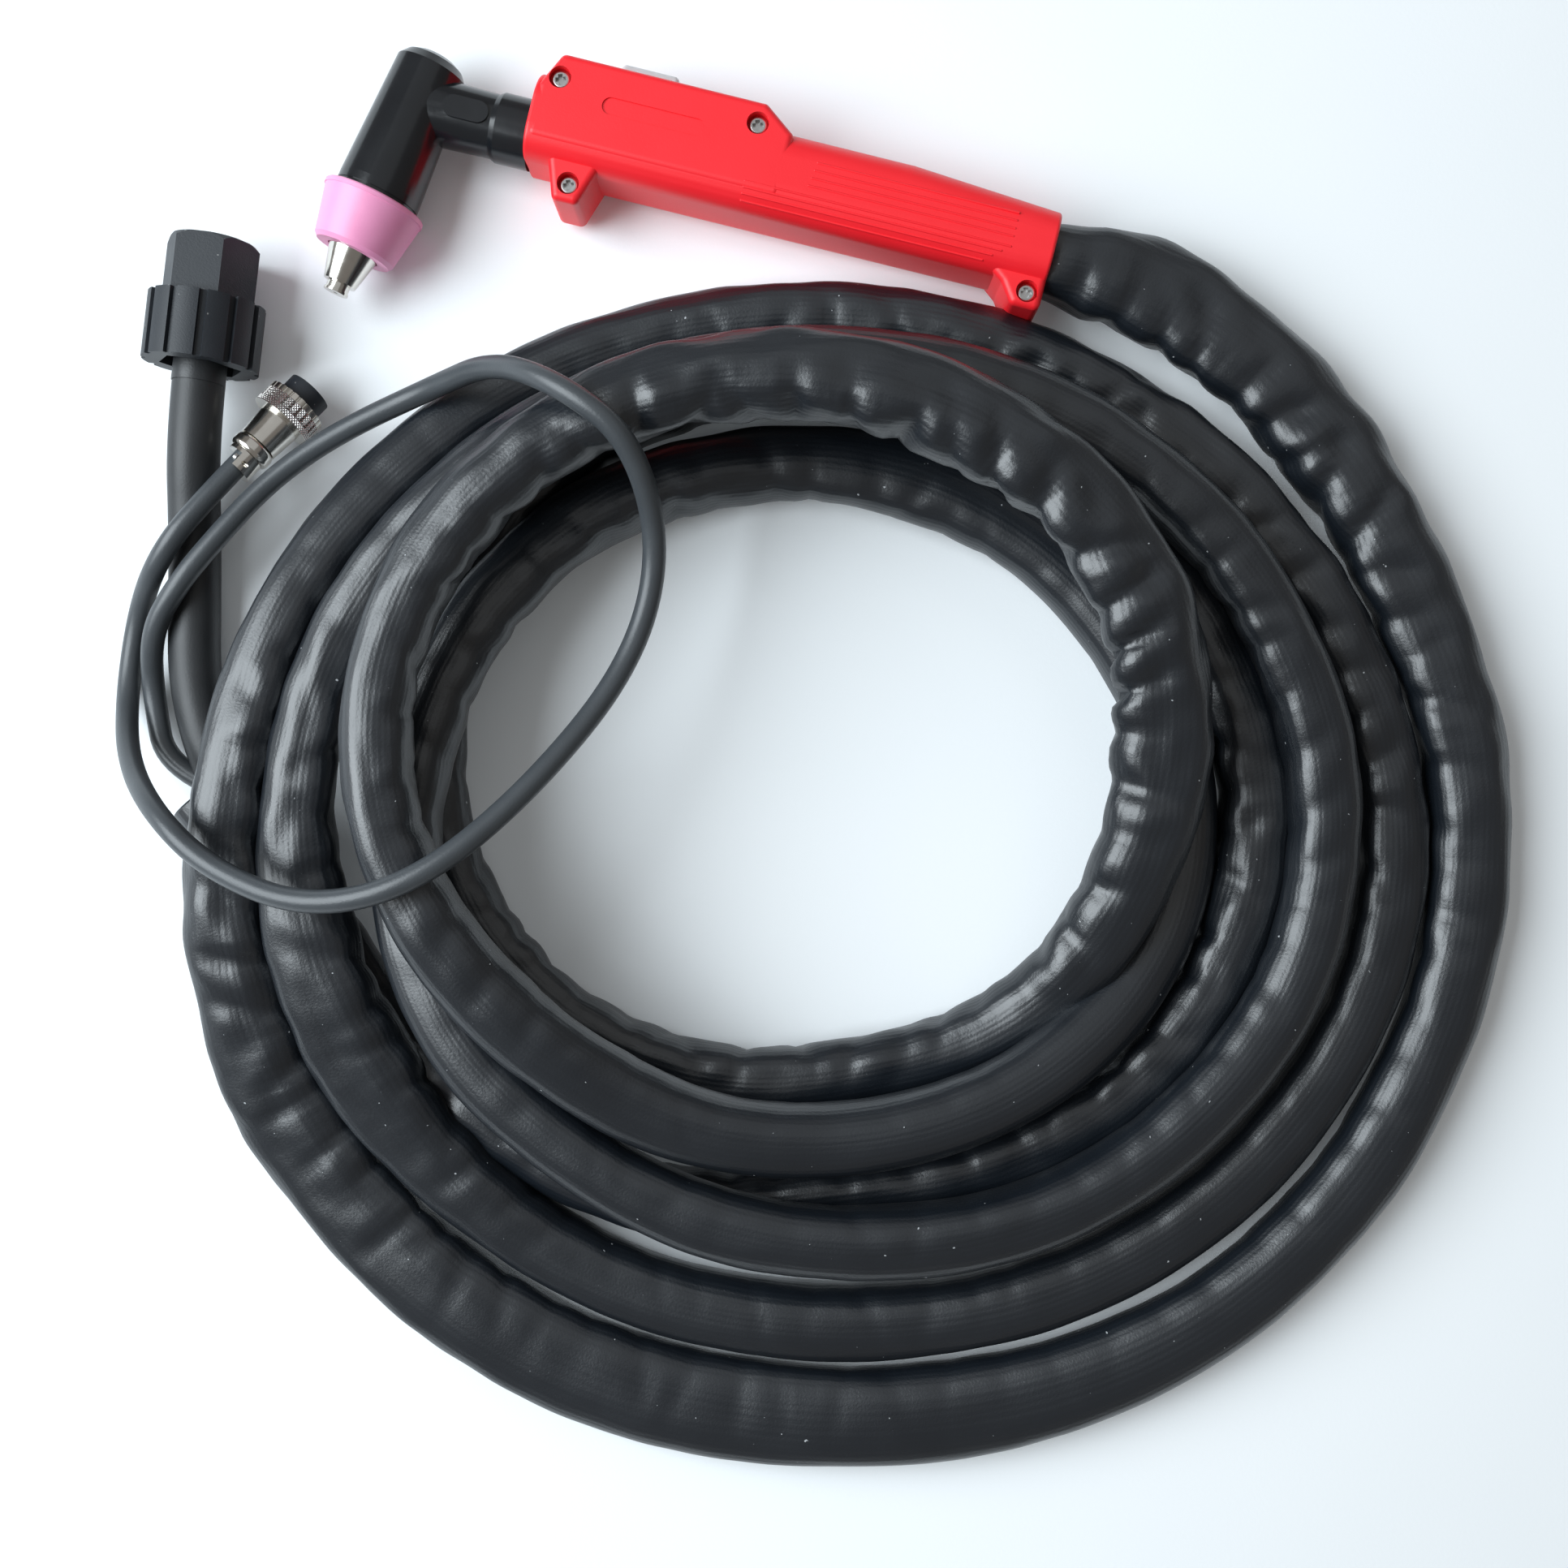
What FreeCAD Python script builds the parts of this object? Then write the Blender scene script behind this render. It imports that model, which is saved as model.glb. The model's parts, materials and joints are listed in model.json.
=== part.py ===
import FreeCAD, Part
import math
import os

V = FreeCAD.Vector

# All sizes are in millimetres. The handle lies along X with its cable end at +X, its trigger
# faces +Y, and everything rests on the plane Z = 0.

# Fits
runFit = 0.05
slipFit = 0.1
looseFit = 0.3
cutMargin = 5.0
cutReach = 60.0

# Handle
handleFront = -76.5
handleRear = 78.5
handleThick = 30.0
gripLow = -9.5
gripHigh = 15.5
gripRearHigh = 12.4
taperStart = 34.0
gripRadius = 8.5
shellWall = 1.8
edgeSoft = 2.0
wingFront = -75.8
wingCorner = 10.5
wingNose = -70.8
wingHigh = 20.5
wingTail = -11.0
wingFoot = -1.5
wingFootHigh = 13.5
earBase = 3.0
earTop = 26.0
frontEarX = -61.5
frontEarY = -14.2
frontEarTip = 5.3
frontEarHalf = 3.7
frontEarFoot = 9.5
rearEarX = 73.8
rearEarY = -12.6
rearEarTip = 4.6
rearEarFoot = 12.0
parting = handleThick / 2

# Handle screws
wingScrewFrontX = -70.1
wingScrewFrontY = 13.4
wingScrewRearX = -12.3
wingScrewRearY = 14.2
recessRadius = 3.2
recessDepth = 3.9
headRadius = 2.6
headThick = 2.0
shankRadius = 1.45
shankLength = 16.0
bossRadius = 4.0

# Oblong recess and fine grip lines on the top shell
oblongStart = -56.6
oblongEnd = -26.6
oblongY = 8.75
oblongWidth = 5.0
oblongDepth = 0.5
lineRadius = 0.35
lineCount = 4
linePitch = 2.3
lineStart = 6.0
lineEnd = 66.0
lineFirstY = 0.3
lowLineStart = -12.0
lowLineY = -2.6
lowLinePitch = 1.6

# Neck, tail and head
neckRadius = 9.1
neckHeadRadius = 9.7
neckEnd = -88.0
collarRadius = 10.0
collarBevel = 1.6
tailRadius = 7.4
tailEnd = -58.0
tailGroove = 1.0
ribThick = 2.0
ribX = -67.0
headX = -112.2
headTurn = 9.6
headTop = -15.3
headRadius1 = 10.5
headRadius2 = 12.25
headFront = 30.0
padLength = 15.5
padWidth = 6.4
padX = -94.6
padRise = 0.5

# Parts on the head axis, as distances from the neck axis towards the tip
cathodeBack = -6.0
cathodeFront = 24.0
cathodeRadius = 6.2
ringBack = 19.0
ringFront = 37.0
ringRadius = 10.4
ringBore = 7.7
swirlBack = 28.0
swirlRadius = 7.6
swirlBore = 3.6
swirlPorts = 6
electrodeBack = 14.0
electrodeFront = 52.5
electrodeRadius = 3.3
electrodeCollar = 5.4
electrodeThread = 2.9
nozzleBack = ringFront
nozzleFlange = 9.4
nozzleFlangeThick = 3.0
nozzleRadius = 7.35
nozzleBase = 46.2
nozzleConeEnd = 56.3
nozzleConeRadius = 4.8
nozzleTip = 59.3
nozzleTipRadius = 3.35
nozzleCavity = 5.2
orificeRadius = 0.6
cupBack = 30.0
cupFront = 46.7
cupBackRadius = 15.0
cupFrontRadius = 11.75
cupRim = 1.6
insertRadius = 12.4
insertBack = 30.8

# Gas tube, nipple and hose in the handle
gasTubeRadius = 4.0
gasTubeBore = 2.9
gasTubeEnd = -47.0
nippleBack = -56.0
nippleHexFront = -51.0
nippleHexEnd = -46.0
nippleHexFlats = 12.0
nippleEnd = -26.0
hoseRadius = 7.5
hoseBore = 4.6
barbNeck = 0.7
barbPitch = 4.0
ferruleLength = 14.0
ferruleWall = 0.7
ferruleSink = 0.6
hoseStart = -45.0
clampX = 50.0
clampWidth = 6.0
clampWall = 1.0

# Trigger, its spring and the switch
triggerX = -47.0
triggerLength = 17.0
triggerWidth = 10.5
triggerRise = 4.8
triggerFlange = 1.6
triggerLip = 1.5
triggerStroke = 2.0
triggerSoft = 1.4
springRadius = 2.7
springWire = 0.5
springTurns = 5
pocketDepth = 4.2
stemRadius = 1.8
switchLength = 19.8
switchHeight = 10.2
switchThick = 6.0
switchTopY = 14.2
plungerRadius = 1.3
plungerSunk = 3.2
tabLength = 4.0
tabWidth = 2.6
tabThick = 0.7
wireRadius = 0.9
wireSpread = 3.0

# Sheath
sheathRadius = 10.0
sheathWall = 1.0
sheathInside = 11.5
sheathGap = 0.2

# Coil of the sheath: the centre on the table, the turn of its axes against the handle's, and
# one station at each quarter turn, clockwise from above: reach, sideways shift and height.
coilX = 64.0
coilY = -189.0
coilTurn = 13.9
coilStations = [
    (186.3, 2.9, 10.0),
    (159.8, 0.5, 10.0),
    (178.0, 4.0, 33.0),
    (163.8, -15.0, 10.0),
    (164.4, 7.2, 10.0),
    (132.2, 1.2, 10.0),
    (155.1, 10.4, 33.0),
    (146.5, 0.3, 34.0),
    (140.7, 8.8, 21.0),
    (104.9, 0.4, 31.0),
    (125.0, 12.7, 34.0),
    (121.2, -10.9, 15.0),
    (99.7, 12.0, 10.0),
    (70.8, -10.4, 32.0),
    (117.4, 19.9, 55.0),
    (136.2, -13.6, 55.0),
    (86.4, 44.9, 31.0),
    (53.8, -13.2, 10.0),
    (123.1, 43.3, 10.0),
    (143.0, -15.6, 10.0),
    (121.8, 10.1, 10.0),
    (88.9, -7.2, 10.0),
]

# Open end of the sheath, where the hose and the lead come out
mouthX = -123.6
mouthY = -209.4
mouthTurn = 142.4
mouthLength = 32.0
mouthTaper = 14.0
mouthWide = 26.0
mouthStraight = 20.0
hoseShift = 3.0
hoseDrop = 1.1
leadShift = 8.3

# Trigger lead
leadRadius = 3.25
leadInMouth = 10.0
leadPoints = [
    (-137.9, -208.4, 8.0),
    (-149.6, -186.0, 4.0),
    (-150.8, -168.0, 14.8),
    (-144.5, -153.0, 20.8),
    (-138.0, -139.0, 20.5),
    (-127.0, -117.0, 18.0),
    (-110.0, -98.5, 20.0),
    (-84.0, -80.0, 27.0),
    (-64.0, -74.5, 54.0),
    (-43.0, -79.0, 71.5),
    (-20.0, -88.5, 71.0),
    (-7.5, -113.0, 50.0),
    (-8.5, -146.0, 48.0),
    (-26.0, -186.0, 62.0),
    (-48.0, -216.0, 70.5),
    (-76.0, -229.5, 62.0),
    (-106.0, -227.0, 50.0),
    (-126.0, -217.0, 45.0),
    (-146.0, -206.0, 21.0),
    (-157.5, -188.0, 3.3),
    (-160.0, -164.0, 3.3),
    (-152.0, -147.0, 20.5),
]
leadStraight = 16.0

# Gas hose outside the sheath
hoseInMouth = 28.0
hosePoints = [
    (-132.6, -198.2, 8.7),
    (-147.0, -138.6, 7.6),
]
hoseStraight = 20.0
turnApart = 150.0
leadApart = 40.0

# Hand nut and its stem, as distances from the nut's rear face along its axis
nutX = -154.8
nutY = -89.2
nutTurn = 97.3
nutRibRadius = 16.5
nutGroove = 1.25
nutRibs = 12
nutRibWidth = 6.2
nutFlange = 19.0
nutLength = 36.3
nutFlats = 23.6
nutBevel = 1.6
nutMouthFlats = 21.0
nutMouthDepth = 3.0
nutBore = 10.0
unionBack = 14.0
unionBore = 7.6
unionShoulder = 4.0
unionRelief = 8.2
unionInset = 0.5
stemShank = 5.0
stemHead = 7.3
stemHeadThick = 4.5
stemNose = 3.0
stemBore = 2.6
stemBarb = 16.0
hoseInNut = 9.0

# Lead plug, as distances from its rear face along its axis
plugX = -137.5
plugY = -116.1
plugZ = 18.2
plugTurn = 64.8
plugDip = 15.1
clampLength = 5.5
clampRadius = 5.25
clampSplit = 0.8
clampScrewRadius = 1.0
rearRingLength = 4.6
rearRingRadius = 6.25
barrelLength = 9.8
barrelRadius = 6.5
barrelFrontRadius = 5.9
barrelBore = 4.4
couplingLength = 7.3
couplingRadius = 9.4
couplingLip = 1.8
knurlDepth = 0.45
knurlCount = 24
insertStand = 5.5
insertFlange = 6.6
insertRecess = 3.5
insertRecessRadius = 5.0
pinRadius = 0.8
pinSpread = 2.2
leadInPlug = 13.0

axisZ = cupBackRadius


def disc(radius, start, end, bore=0.0):
    solid = Part.makeCylinder(radius, end - start, V(0, 0, start))
    if bore > 0:
        solid = solid.cut(Part.makeCylinder(bore, end - start + 2, V(0, 0, start - 1)))
    return solid


def turned(points):
    corners = [V(radius, 0, along) for along, radius in points]
    face = Part.Face(Part.makePolygon(corners + [corners[0]]))
    return face.revolve(V(0, 0, 0), V(0, 0, 1), 360)


def block(x0, x1, y0, y1, z0, z1):
    return Part.makeBox(x1 - x0, y1 - y0, z1 - z0, V(x0, y0, z0))


def along(shape, origin, axis, side=V(0, 0, 1)):
    w = V(axis)
    w.normalize()
    u = side.cross(w)
    u.normalize()
    v = w.cross(u)
    matrix = FreeCAD.Matrix(
        u.x, v.x, w.x, origin.x, u.y, v.y, w.y, origin.y, u.z, v.z, w.z, origin.z, 0, 0, 0, 1)
    placed = shape.copy()
    placed.Placement = FreeCAD.Placement(matrix).multiply(placed.Placement)
    return placed


def hexagon(flats, start, end):
    radius = flats / 2 / math.cos(math.radians(30))
    corners = []
    for i in range(7):
        turn = math.radians(60 * i)
        corners.append(V(radius * math.cos(turn), radius * math.sin(turn), start))
    return Part.Face(Part.makePolygon(corners)).extrude(V(0, 0, end - start))


def section(x, low, high, bottom, top, radius):
    k = radius * (1 - math.sqrt(0.5))
    y0, y1, z0, z1 = low, high, bottom, top
    edges = [
        Part.makeLine(V(x, y0 + radius, z0), V(x, y1 - radius, z0)),
        Part.Arc(V(x, y1 - radius, z0), V(x, y1 - k, z0 + k), V(x, y1, z0 + radius)).toShape(),
        Part.makeLine(V(x, y1, z0 + radius), V(x, y1, z1 - radius)),
        Part.Arc(V(x, y1, z1 - radius), V(x, y1 - k, z1 - k), V(x, y1 - radius, z1)).toShape(),
        Part.makeLine(V(x, y1 - radius, z1), V(x, y0 + radius, z1)),
        Part.Arc(V(x, y0 + radius, z1), V(x, y0 + k, z1 - k), V(x, y0, z1 - radius)).toShape(),
        Part.makeLine(V(x, y0, z1 - radius), V(x, y0, z0 + radius)),
        Part.Arc(V(x, y0, z0 + radius), V(x, y0 + k, z0 + k), V(x, y0 + radius, z0)).toShape(),
    ]
    return Part.Wire(edges)


def prism(points, bottom, top):
    corners = [V(x, y, bottom) for x, y in points]
    return Part.Face(Part.makePolygon(corners + [corners[0]])).extrude(V(0, 0, top - bottom))


def soft(solid, radius):
    return solid.makeFillet(radius, solid.Edges)


def barrel(inset, front, rear):
    rows = [(front, gripHigh), (taperStart, gripHigh), (rear, gripRearHigh)]
    wires = []
    for x, high in rows:
        wires.append(section(x, gripLow + inset, high - inset, inset, handleThick - inset,
                             gripRadius - inset))
    return Part.makeLoft(wires, True, True)


def wing(inset):
    points = [
        (wingFront + inset, gripLow / 2),
        (wingFront + inset, wingCorner - inset / 2),
        (wingNose + inset / 2, wingHigh - inset),
        (wingTail - inset / 2, wingHigh - inset),
        (wingFoot - inset / 2, wingFootHigh - inset),
        (wingFoot - inset / 2, gripLow / 2),
    ]
    return prism(points, inset, handleThick - inset)


def ear(x, y, half, foot, tip, rootY):
    points = [
        (x - half - foot / 2, rootY),
        (x - half, y - tip),
        (x + half, y - tip),
        (x + half + foot / 2, rootY),
    ]
    return soft(prism(points, earBase, earTop), edgeSoft)


def outerForm():
    form = barrel(0.0, handleFront, handleRear)
    form = form.makeFillet(edgeSoft / 2, endEdges(form, handleFront) + endEdges(form, handleRear))
    rootY = gripLow + gripRadius / 2
    form = form.fuse(soft(wing(0.0), edgeSoft))
    form = form.fuse(ear(frontEarX, frontEarY, frontEarHalf, frontEarFoot, frontEarTip, rootY))
    points = [
        (rearEarX - frontEarHalf - rearEarFoot, rootY),
        (rearEarX - frontEarHalf - rearEarFoot / 3, gripLow - edgeSoft),
        (rearEarX - frontEarHalf, rearEarY - rearEarTip),
        (handleRear, rearEarY - rearEarTip),
        (handleRear, rootY),
    ]
    form = form.fuse(soft(prism(points, earBase, earTop), edgeSoft))
    return form.removeSplitter()


def endEdges(solid, x):
    found = []
    for edge in solid.Edges:
        box = edge.BoundBox
        if abs(box.XMin - x) < 1e-4 and abs(box.XMax - x) < 1e-4:
            found.append(edge)
    return found


def screwSpots():
    wingFloor = handleThick - recessDepth
    earFloor = earTop - recessDepth
    return [
        (wingScrewFrontX, wingScrewFrontY, wingFloor),
        (wingScrewRearX, wingScrewRearY, wingFloor),
        (frontEarX, frontEarY, earFloor),
        (rearEarX, rearEarY, earFloor),
    ]


def screw(x, y, floor):
    solid = Part.makeCylinder(headRadius, headThick, V(x, y, floor))
    top = [edge for edge in solid.Edges if abs(edge.BoundBox.ZMin - floor - headThick) < 1e-4]
    solid = solid.makeFillet(headThick / 3, top)
    slotWide = headRadius / 4
    for turn in (0, 90):
        slot = block(-headRadius / 1.7, headRadius / 1.7, -slotWide, slotWide, 0, headThick)
        slot.rotate(V(0, 0, 0), V(0, 0, 1), turn + 20)
        slot.translate(V(x, y, floor + headThick / 3))
        solid = solid.cut(slot)
    return solid.fuse(Part.makeCylinder(shankRadius, shankLength, V(x, y, floor - shankLength)))


def cavity():
    inner = barrel(shellWall, handleFront + shellWall, handleRear - sheathInside)
    return inner.fuse(wing(shellWall))


def sheathSeat(radius, start):
    end = handleRear + 1
    return Part.makeCylinder(radius, end - start, V(start, 0, axisZ), V(1, 0, 0))


def ribs():
    room = block(handleFront, handleRear, gripLow, gripHigh, 0, handleThick)
    solid = block(ribX - ribThick / 2, ribX + ribThick / 2, gripLow, wingHigh, 0, handleThick)
    solid = solid.cut(Part.makeCylinder(tailRadius - tailGroove + slipFit, ribThick + 2,
                                        V(ribX - ribThick / 2 - 1, 0, axisZ), V(1, 0, 0)))
    high = hoseRadius - edgeSoft / 2
    step = (clampX - taperStart) * 1.9
    for x in (clampX - clampWidth / 2 - ribThick - step, clampX - clampWidth / 2 - ribThick,
              clampX + clampWidth / 2):
        rib = block(x, x + ribThick, gripLow, high, 0, handleThick)
        rib = rib.cut(Part.makeCylinder(hoseRadius + slipFit, ribThick + 2,
                                        V(x - 1, 0, axisZ), V(1, 0, 0)))
        solid = solid.fuse(rib)
    return solid.common(room.fuse(wing(0.0)))


def switchPosts():
    x0 = triggerX - switchLength / 2 + 2
    x1 = triggerX + switchLength / 2 - 2
    y0 = switchTopY - switchThick + slipFit
    low = block(x0, x1, y0, switchTopY, 0, axisZ - switchHeight / 2)
    high = block(x0, x1, y0, switchTopY, axisZ + switchHeight / 2, handleThick)
    return low.fuse(high)


def triggerSlot():
    half = triggerLength / 2 + slipFit
    tall = triggerWidth / 2 + slipFit
    return block(triggerX - half, triggerX + half, wingHigh - shellWall - 1, wingHigh + 1,
                 axisZ - tall, axisZ + tall)


def gripLines():
    centre = V(0, gripLow + gripRadius, handleThick - gripRadius)
    lines = []
    for i in range(lineCount):
        y = lineFirstY + i * linePitch
        x0, x1 = lineStart + i * lineRadius, lineEnd
        lines.append((y, x0, x1))
        lines.append((lowLineY - i * lowLinePitch, lowLineStart, lineEnd - i * linePitch))
    solid = None
    for y, x0, x1 in lines:
        drop = min(0.0, y - centre.y)
        z = centre.z + math.sqrt(gripRadius ** 2 - drop ** 2) - lineRadius / 3
        rod = Part.makeCylinder(lineRadius, x1 - x0, V(x0, y, z), V(1, 0, 0))
        rod = rod.fuse(Part.makeSphere(lineRadius, V(x0, y, z)))
        rod = rod.fuse(Part.makeSphere(lineRadius, V(x1, y, z)))
        solid = rod if solid is None else solid.fuse(rod)
    return solid


def runs(points):
    corners = [V(*p) for p in points]
    edges = []
    radii = []
    cursor = corners[0]
    for i in range(1, len(corners) - 1):
        before = corners[i] - corners[i - 1]
        after = corners[i + 1] - corners[i]
        turn = before.getAngle(after)
        reach = 0.45 * min(before.Length, after.Length)
        radii.append(reach / math.tan(turn / 2))
        u = V(before)
        u.normalize()
        w = V(after)
        w.normalize()
        a = corners[i] - u * reach
        b = corners[i] + w * reach
        bisector = w - u
        bisector.normalize()
        sag = radii[-1] * (1 / math.cos(turn / 2) - 1)
        middle = corners[i] + bisector * sag
        edges.append(Part.makeLine(cursor, a))
        edges.append(Part.Arc(a, middle, b).toShape())
        cursor = b
    edges.append(Part.makeLine(cursor, corners[-1]))
    return Part.Wire(edges), radii


def tube(wire, radius):
    start = wire.Edges[0]
    first = start.valueAt(start.FirstParameter)
    heading = start.tangentAt(start.FirstParameter)
    profile = Part.Wire(Part.Circle(first, heading, radius).toShape())
    pipe = Part.BRepOffsetAPI.MakePipeShell(wire)
    pipe.add(profile)
    pipe.build()
    pipe.makeSolid()
    return pipe.shape()


def report(name, wire, radii, solid, area):
    ratio = solid.Volume / (area * wire.Length)
    print("%s: length %.1f, least radius %.1f, volume over section x length %.4f"
          % (name, wire.Length, min(radii), ratio))


def biarc(p0, p1, t0, t1):
    v = p1 - p0
    t = t0 + t1
    k = 2 * (1 - t0.dot(t1))
    d = (-v.dot(t) + math.sqrt(v.dot(t) ** 2 + k * v.dot(v))) / k
    joint = (p0 + t0 * d + p1 - t1 * d) * 0.5
    first = arcFrom(p0, joint, t0)
    second = arcFrom(p1, joint, t1 * -1)
    return (p0, first, joint), (joint, second, p1)


def arcFrom(start, end, heading):
    chord = end - start
    half = chord.getAngle(heading)
    normal = chord - heading * chord.dot(heading)
    normal.normalize()
    radius = chord.Length / 2 / math.sin(half)
    centre = start + normal * radius
    middle = start + chord * 0.5 - centre
    middle.normalize()
    return centre + middle * radius


def coilFrame(x, y, z):
    turn = math.radians(coilTurn)
    return V(coilX + x * math.cos(turn) - y * math.sin(turn),
             coilY + x * math.sin(turn) + y * math.cos(turn), z)


def coilRoute():
    outward = [(1, 0), (0, -1), (-1, 0), (0, 1)]
    heading = [(0, -1), (-1, 0), (0, 1), (1, 0)]
    points = []
    plans = []
    for i, (reach, shift, z) in enumerate(coilStations):
        side = outward[i % 4]
        x = side[0] * reach + (shift if side[0] == 0 else 0)
        y = side[1] * reach + (shift if side[1] == 0 else 0)
        points.append(coilFrame(x, y, z))
        plans.append(coilFrame(*heading[i % 4], 0) - coilFrame(0, 0, 0))
    end, heading = mouthStart(mouthStraight)
    points.append(end)
    plans.append(heading)
    steps = [(points[i + 1] - points[i]) for i in range(len(points) - 1)]
    slopes = [step.z / (math.hypot(step.x, step.y) * 1.11) for step in steps]
    tangents = []
    for i, plan in enumerate(plans):
        rise = 0.0
        if 0 < i < len(slopes) and slopes[i - 1] * slopes[i] > 0:
            rise = 2 * slopes[i - 1] * slopes[i] / (slopes[i - 1] + slopes[i])
        tangent = V(plan.x, plan.y, rise)
        tangent.normalize()
        tangents.append(tangent)
    return points, tangents


def mouthHeading():
    turn = math.radians(mouthTurn)
    return V(math.cos(turn), math.sin(turn), 0)


def mouthStart(extra=0.0):
    heading = mouthHeading()
    back = mouthLength + mouthTaper + extra
    return V(mouthX, mouthY, sheathRadius) - heading * back, heading


def coilWire():
    points, tangents = coilRoute()
    edges = []
    for i in range(len(points) - 1):
        for a, middle, b in biarc(points[i], points[i + 1], tangents[i], tangents[i + 1]):
            edges.append(Part.Arc(a, middle, b).toShape())
    edges.append(Part.makeLine(points[-1], mouthStart()[0]))
    return Part.Wire(edges)


def sampled(wire, pitch):
    found = []
    for edge in wire.Edges:
        count = max(2, int(edge.Length / pitch))
        found += edge.discretize(count + 1)[:-1]
    found.append(wire.Edges[-1].valueAt(wire.Edges[-1].LastParameter))
    return found


def leastGap(points, radius, skip):
    least = 1e9
    place = None
    run = [0.0]
    for i in range(1, len(points)):
        run.append(run[-1] + points[i].distanceToPoint(points[i - 1]))
    for i in range(len(points)):
        for j in range(i + 1, len(points)):
            if run[j] - run[i] < skip:
                continue
            gap = points[i].distanceToPoint(points[j]) - 2 * radius
            if gap < least:
                least = gap
                place = points[i]
    return least, place


def gapBetween(a, b, reach):
    least = 1e9
    place = None
    for p in a:
        for q in b:
            gap = p.distanceToPoint(q) - reach
            if gap < least:
                least = gap
                place = p
    return "%.2f at (%.0f, %.0f, %.0f)" % (least, place.x, place.y, place.z)


def stadium(wide, tall, z):
    half = (wide - tall) / 2
    radius = tall / 2
    if half < 1e-6:
        return Part.Wire(Part.Circle(V(0, 0, z), V(0, 0, 1), radius).toShape())
    edges = [
        Part.makeLine(V(half, -radius, z), V(-half, -radius, z)),
        Part.Arc(V(-half, -radius, z), V(-half - radius, 0, z), V(-half, radius, z)).toShape(),
        Part.makeLine(V(-half, radius, z), V(half, radius, z)),
        Part.Arc(V(half, radius, z), V(half + radius, 0, z), V(half, -radius, z)).toShape(),
    ]
    return Part.Wire(edges)


os.makedirs("parts", exist_ok=True)
pieces = {}


def keep(name, shape):
    if shape.ShapeType == "Compound" and len(shape.Solids) == 1:
        shape = shape.Solids[0]
    pieces[name] = shape
    shape.exportStep("parts/" + name + ".step")
    print("%s: %d solid, volume %.1f, valid %s"
          % (name, len(shape.Solids), shape.Volume, shape.isValid()))


# Wires and hose that run through the handle
neckAxis = V(1, 0, 0)
wireY = switchTopY - switchThick / 2
wireEnd = handleRear - sheathInside
rearReach = hoseRadius + (sheathRadius - hoseRadius) / 2
switchEnd = triggerX + switchLength / 2 + tabLength
switchWires = []
sideReach = hoseRadius + clampWall + wireRadius + looseFit
bossSide = wingScrewRearY - bossRadius - wireRadius - looseFit
wireTurn = math.radians(34)
for sign in (-1, 1):
    z0 = axisZ + sign * wireSpread
    ySide = sideReach * math.cos(wireTurn)
    zSide = axisZ + sign * sideReach * math.sin(wireTurn)
    wire, radii = runs([
        (switchEnd, wireY, z0),
        (switchEnd + 7, wireY, z0),
        (switchEnd + 17, bossSide, z0 + sign * 0.5),
        (clampX - clampWidth, ySide, zSide),
        (clampX + clampWidth, ySide - 0.1, zSide),
        (wireEnd - slipFit, rearReach * math.cos(wireTurn),
         axisZ + sign * rearReach * math.sin(wireTurn)),
    ])
    switchWires.append(tube(wire, wireRadius))
pilotZ = axisZ + gasTubeRadius + wireRadius + 0.8
pilotHigh = axisZ + sideReach
pilotEnd = [
    (headX + 8.5, 0, pilotZ),
    (tailEnd - 2, 0, pilotZ),
    (nippleHexFront + 2, 1.2, pilotHigh),
    (nippleEnd + 30, 1.8, pilotHigh + 0.3),
    (clampX + clampWidth, 1.2, pilotHigh),
    (wireEnd - slipFit, 1.2, axisZ + rearReach),
]
pilotWire, pilotRadii = runs(pilotEnd)
passage = tube(pilotWire, wireRadius + slipFit)

# Handle shells
outer = outerForm()
room = cavity()
shell = outer.cut(room)
inside = ribs().fuse(switchPosts())
for x, y, floor in screwSpots():
    inside = inside.fuse(Part.makeCylinder(bossRadius, handleThick, V(x, y, 0)))
shell = shell.fuse(inside.common(outer)).removeSplitter()
shell = shell.cut(Part.makeCylinder(tailRadius + slipFit, shellWall + 2,
                                    V(handleFront - 1, 0, axisZ), neckAxis))
shell = shell.cut(sheathSeat(sheathRadius + sheathGap, wireEnd))
shell = shell.cut(triggerSlot())
shell = shell.cut(passage)
for x, y, floor in screwSpots():
    shell = shell.cut(Part.makeCylinder(recessRadius, handleThick, V(x, y, floor)))
    shell = shell.cut(Part.makeCylinder(shankRadius + slipFit, shankLength + 0.5,
                                        V(x, y, floor - shankLength - 0.5)))
    shell = shell.cut(Part.makeCylinder(shankRadius + 2 * slipFit, floor - parting,
                                        V(x, y, parting)))
slot = block(oblongStart + oblongWidth / 2, oblongEnd - oblongWidth / 2,
             oblongY - oblongWidth / 2, oblongY + oblongWidth / 2,
             handleThick - oblongDepth, handleThick + 1)
for x in (oblongStart + oblongWidth / 2, oblongEnd - oblongWidth / 2):
    slot = slot.fuse(Part.makeCylinder(oblongWidth / 2, oblongDepth + 1,
                                       V(x, oblongY, handleThick - oblongDepth)))
halfFront = handleFront - cutMargin
halfRear = handleRear + cutMargin
upper = shell.common(block(halfFront, halfRear, -cutReach, cutReach, parting, handleThick + cutMargin))
lower = shell.common(block(halfFront, halfRear, -cutReach, cutReach, -cutMargin, parting))
upper = upper.cut(slot).fuse(gripLines()).removeSplitter()
keep("handle_top_shell", upper)
keep("handle_bottom_shell", lower)
keep("handle_screws", Part.Compound([screw(*spot) for spot in screwSpots()]))

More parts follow.
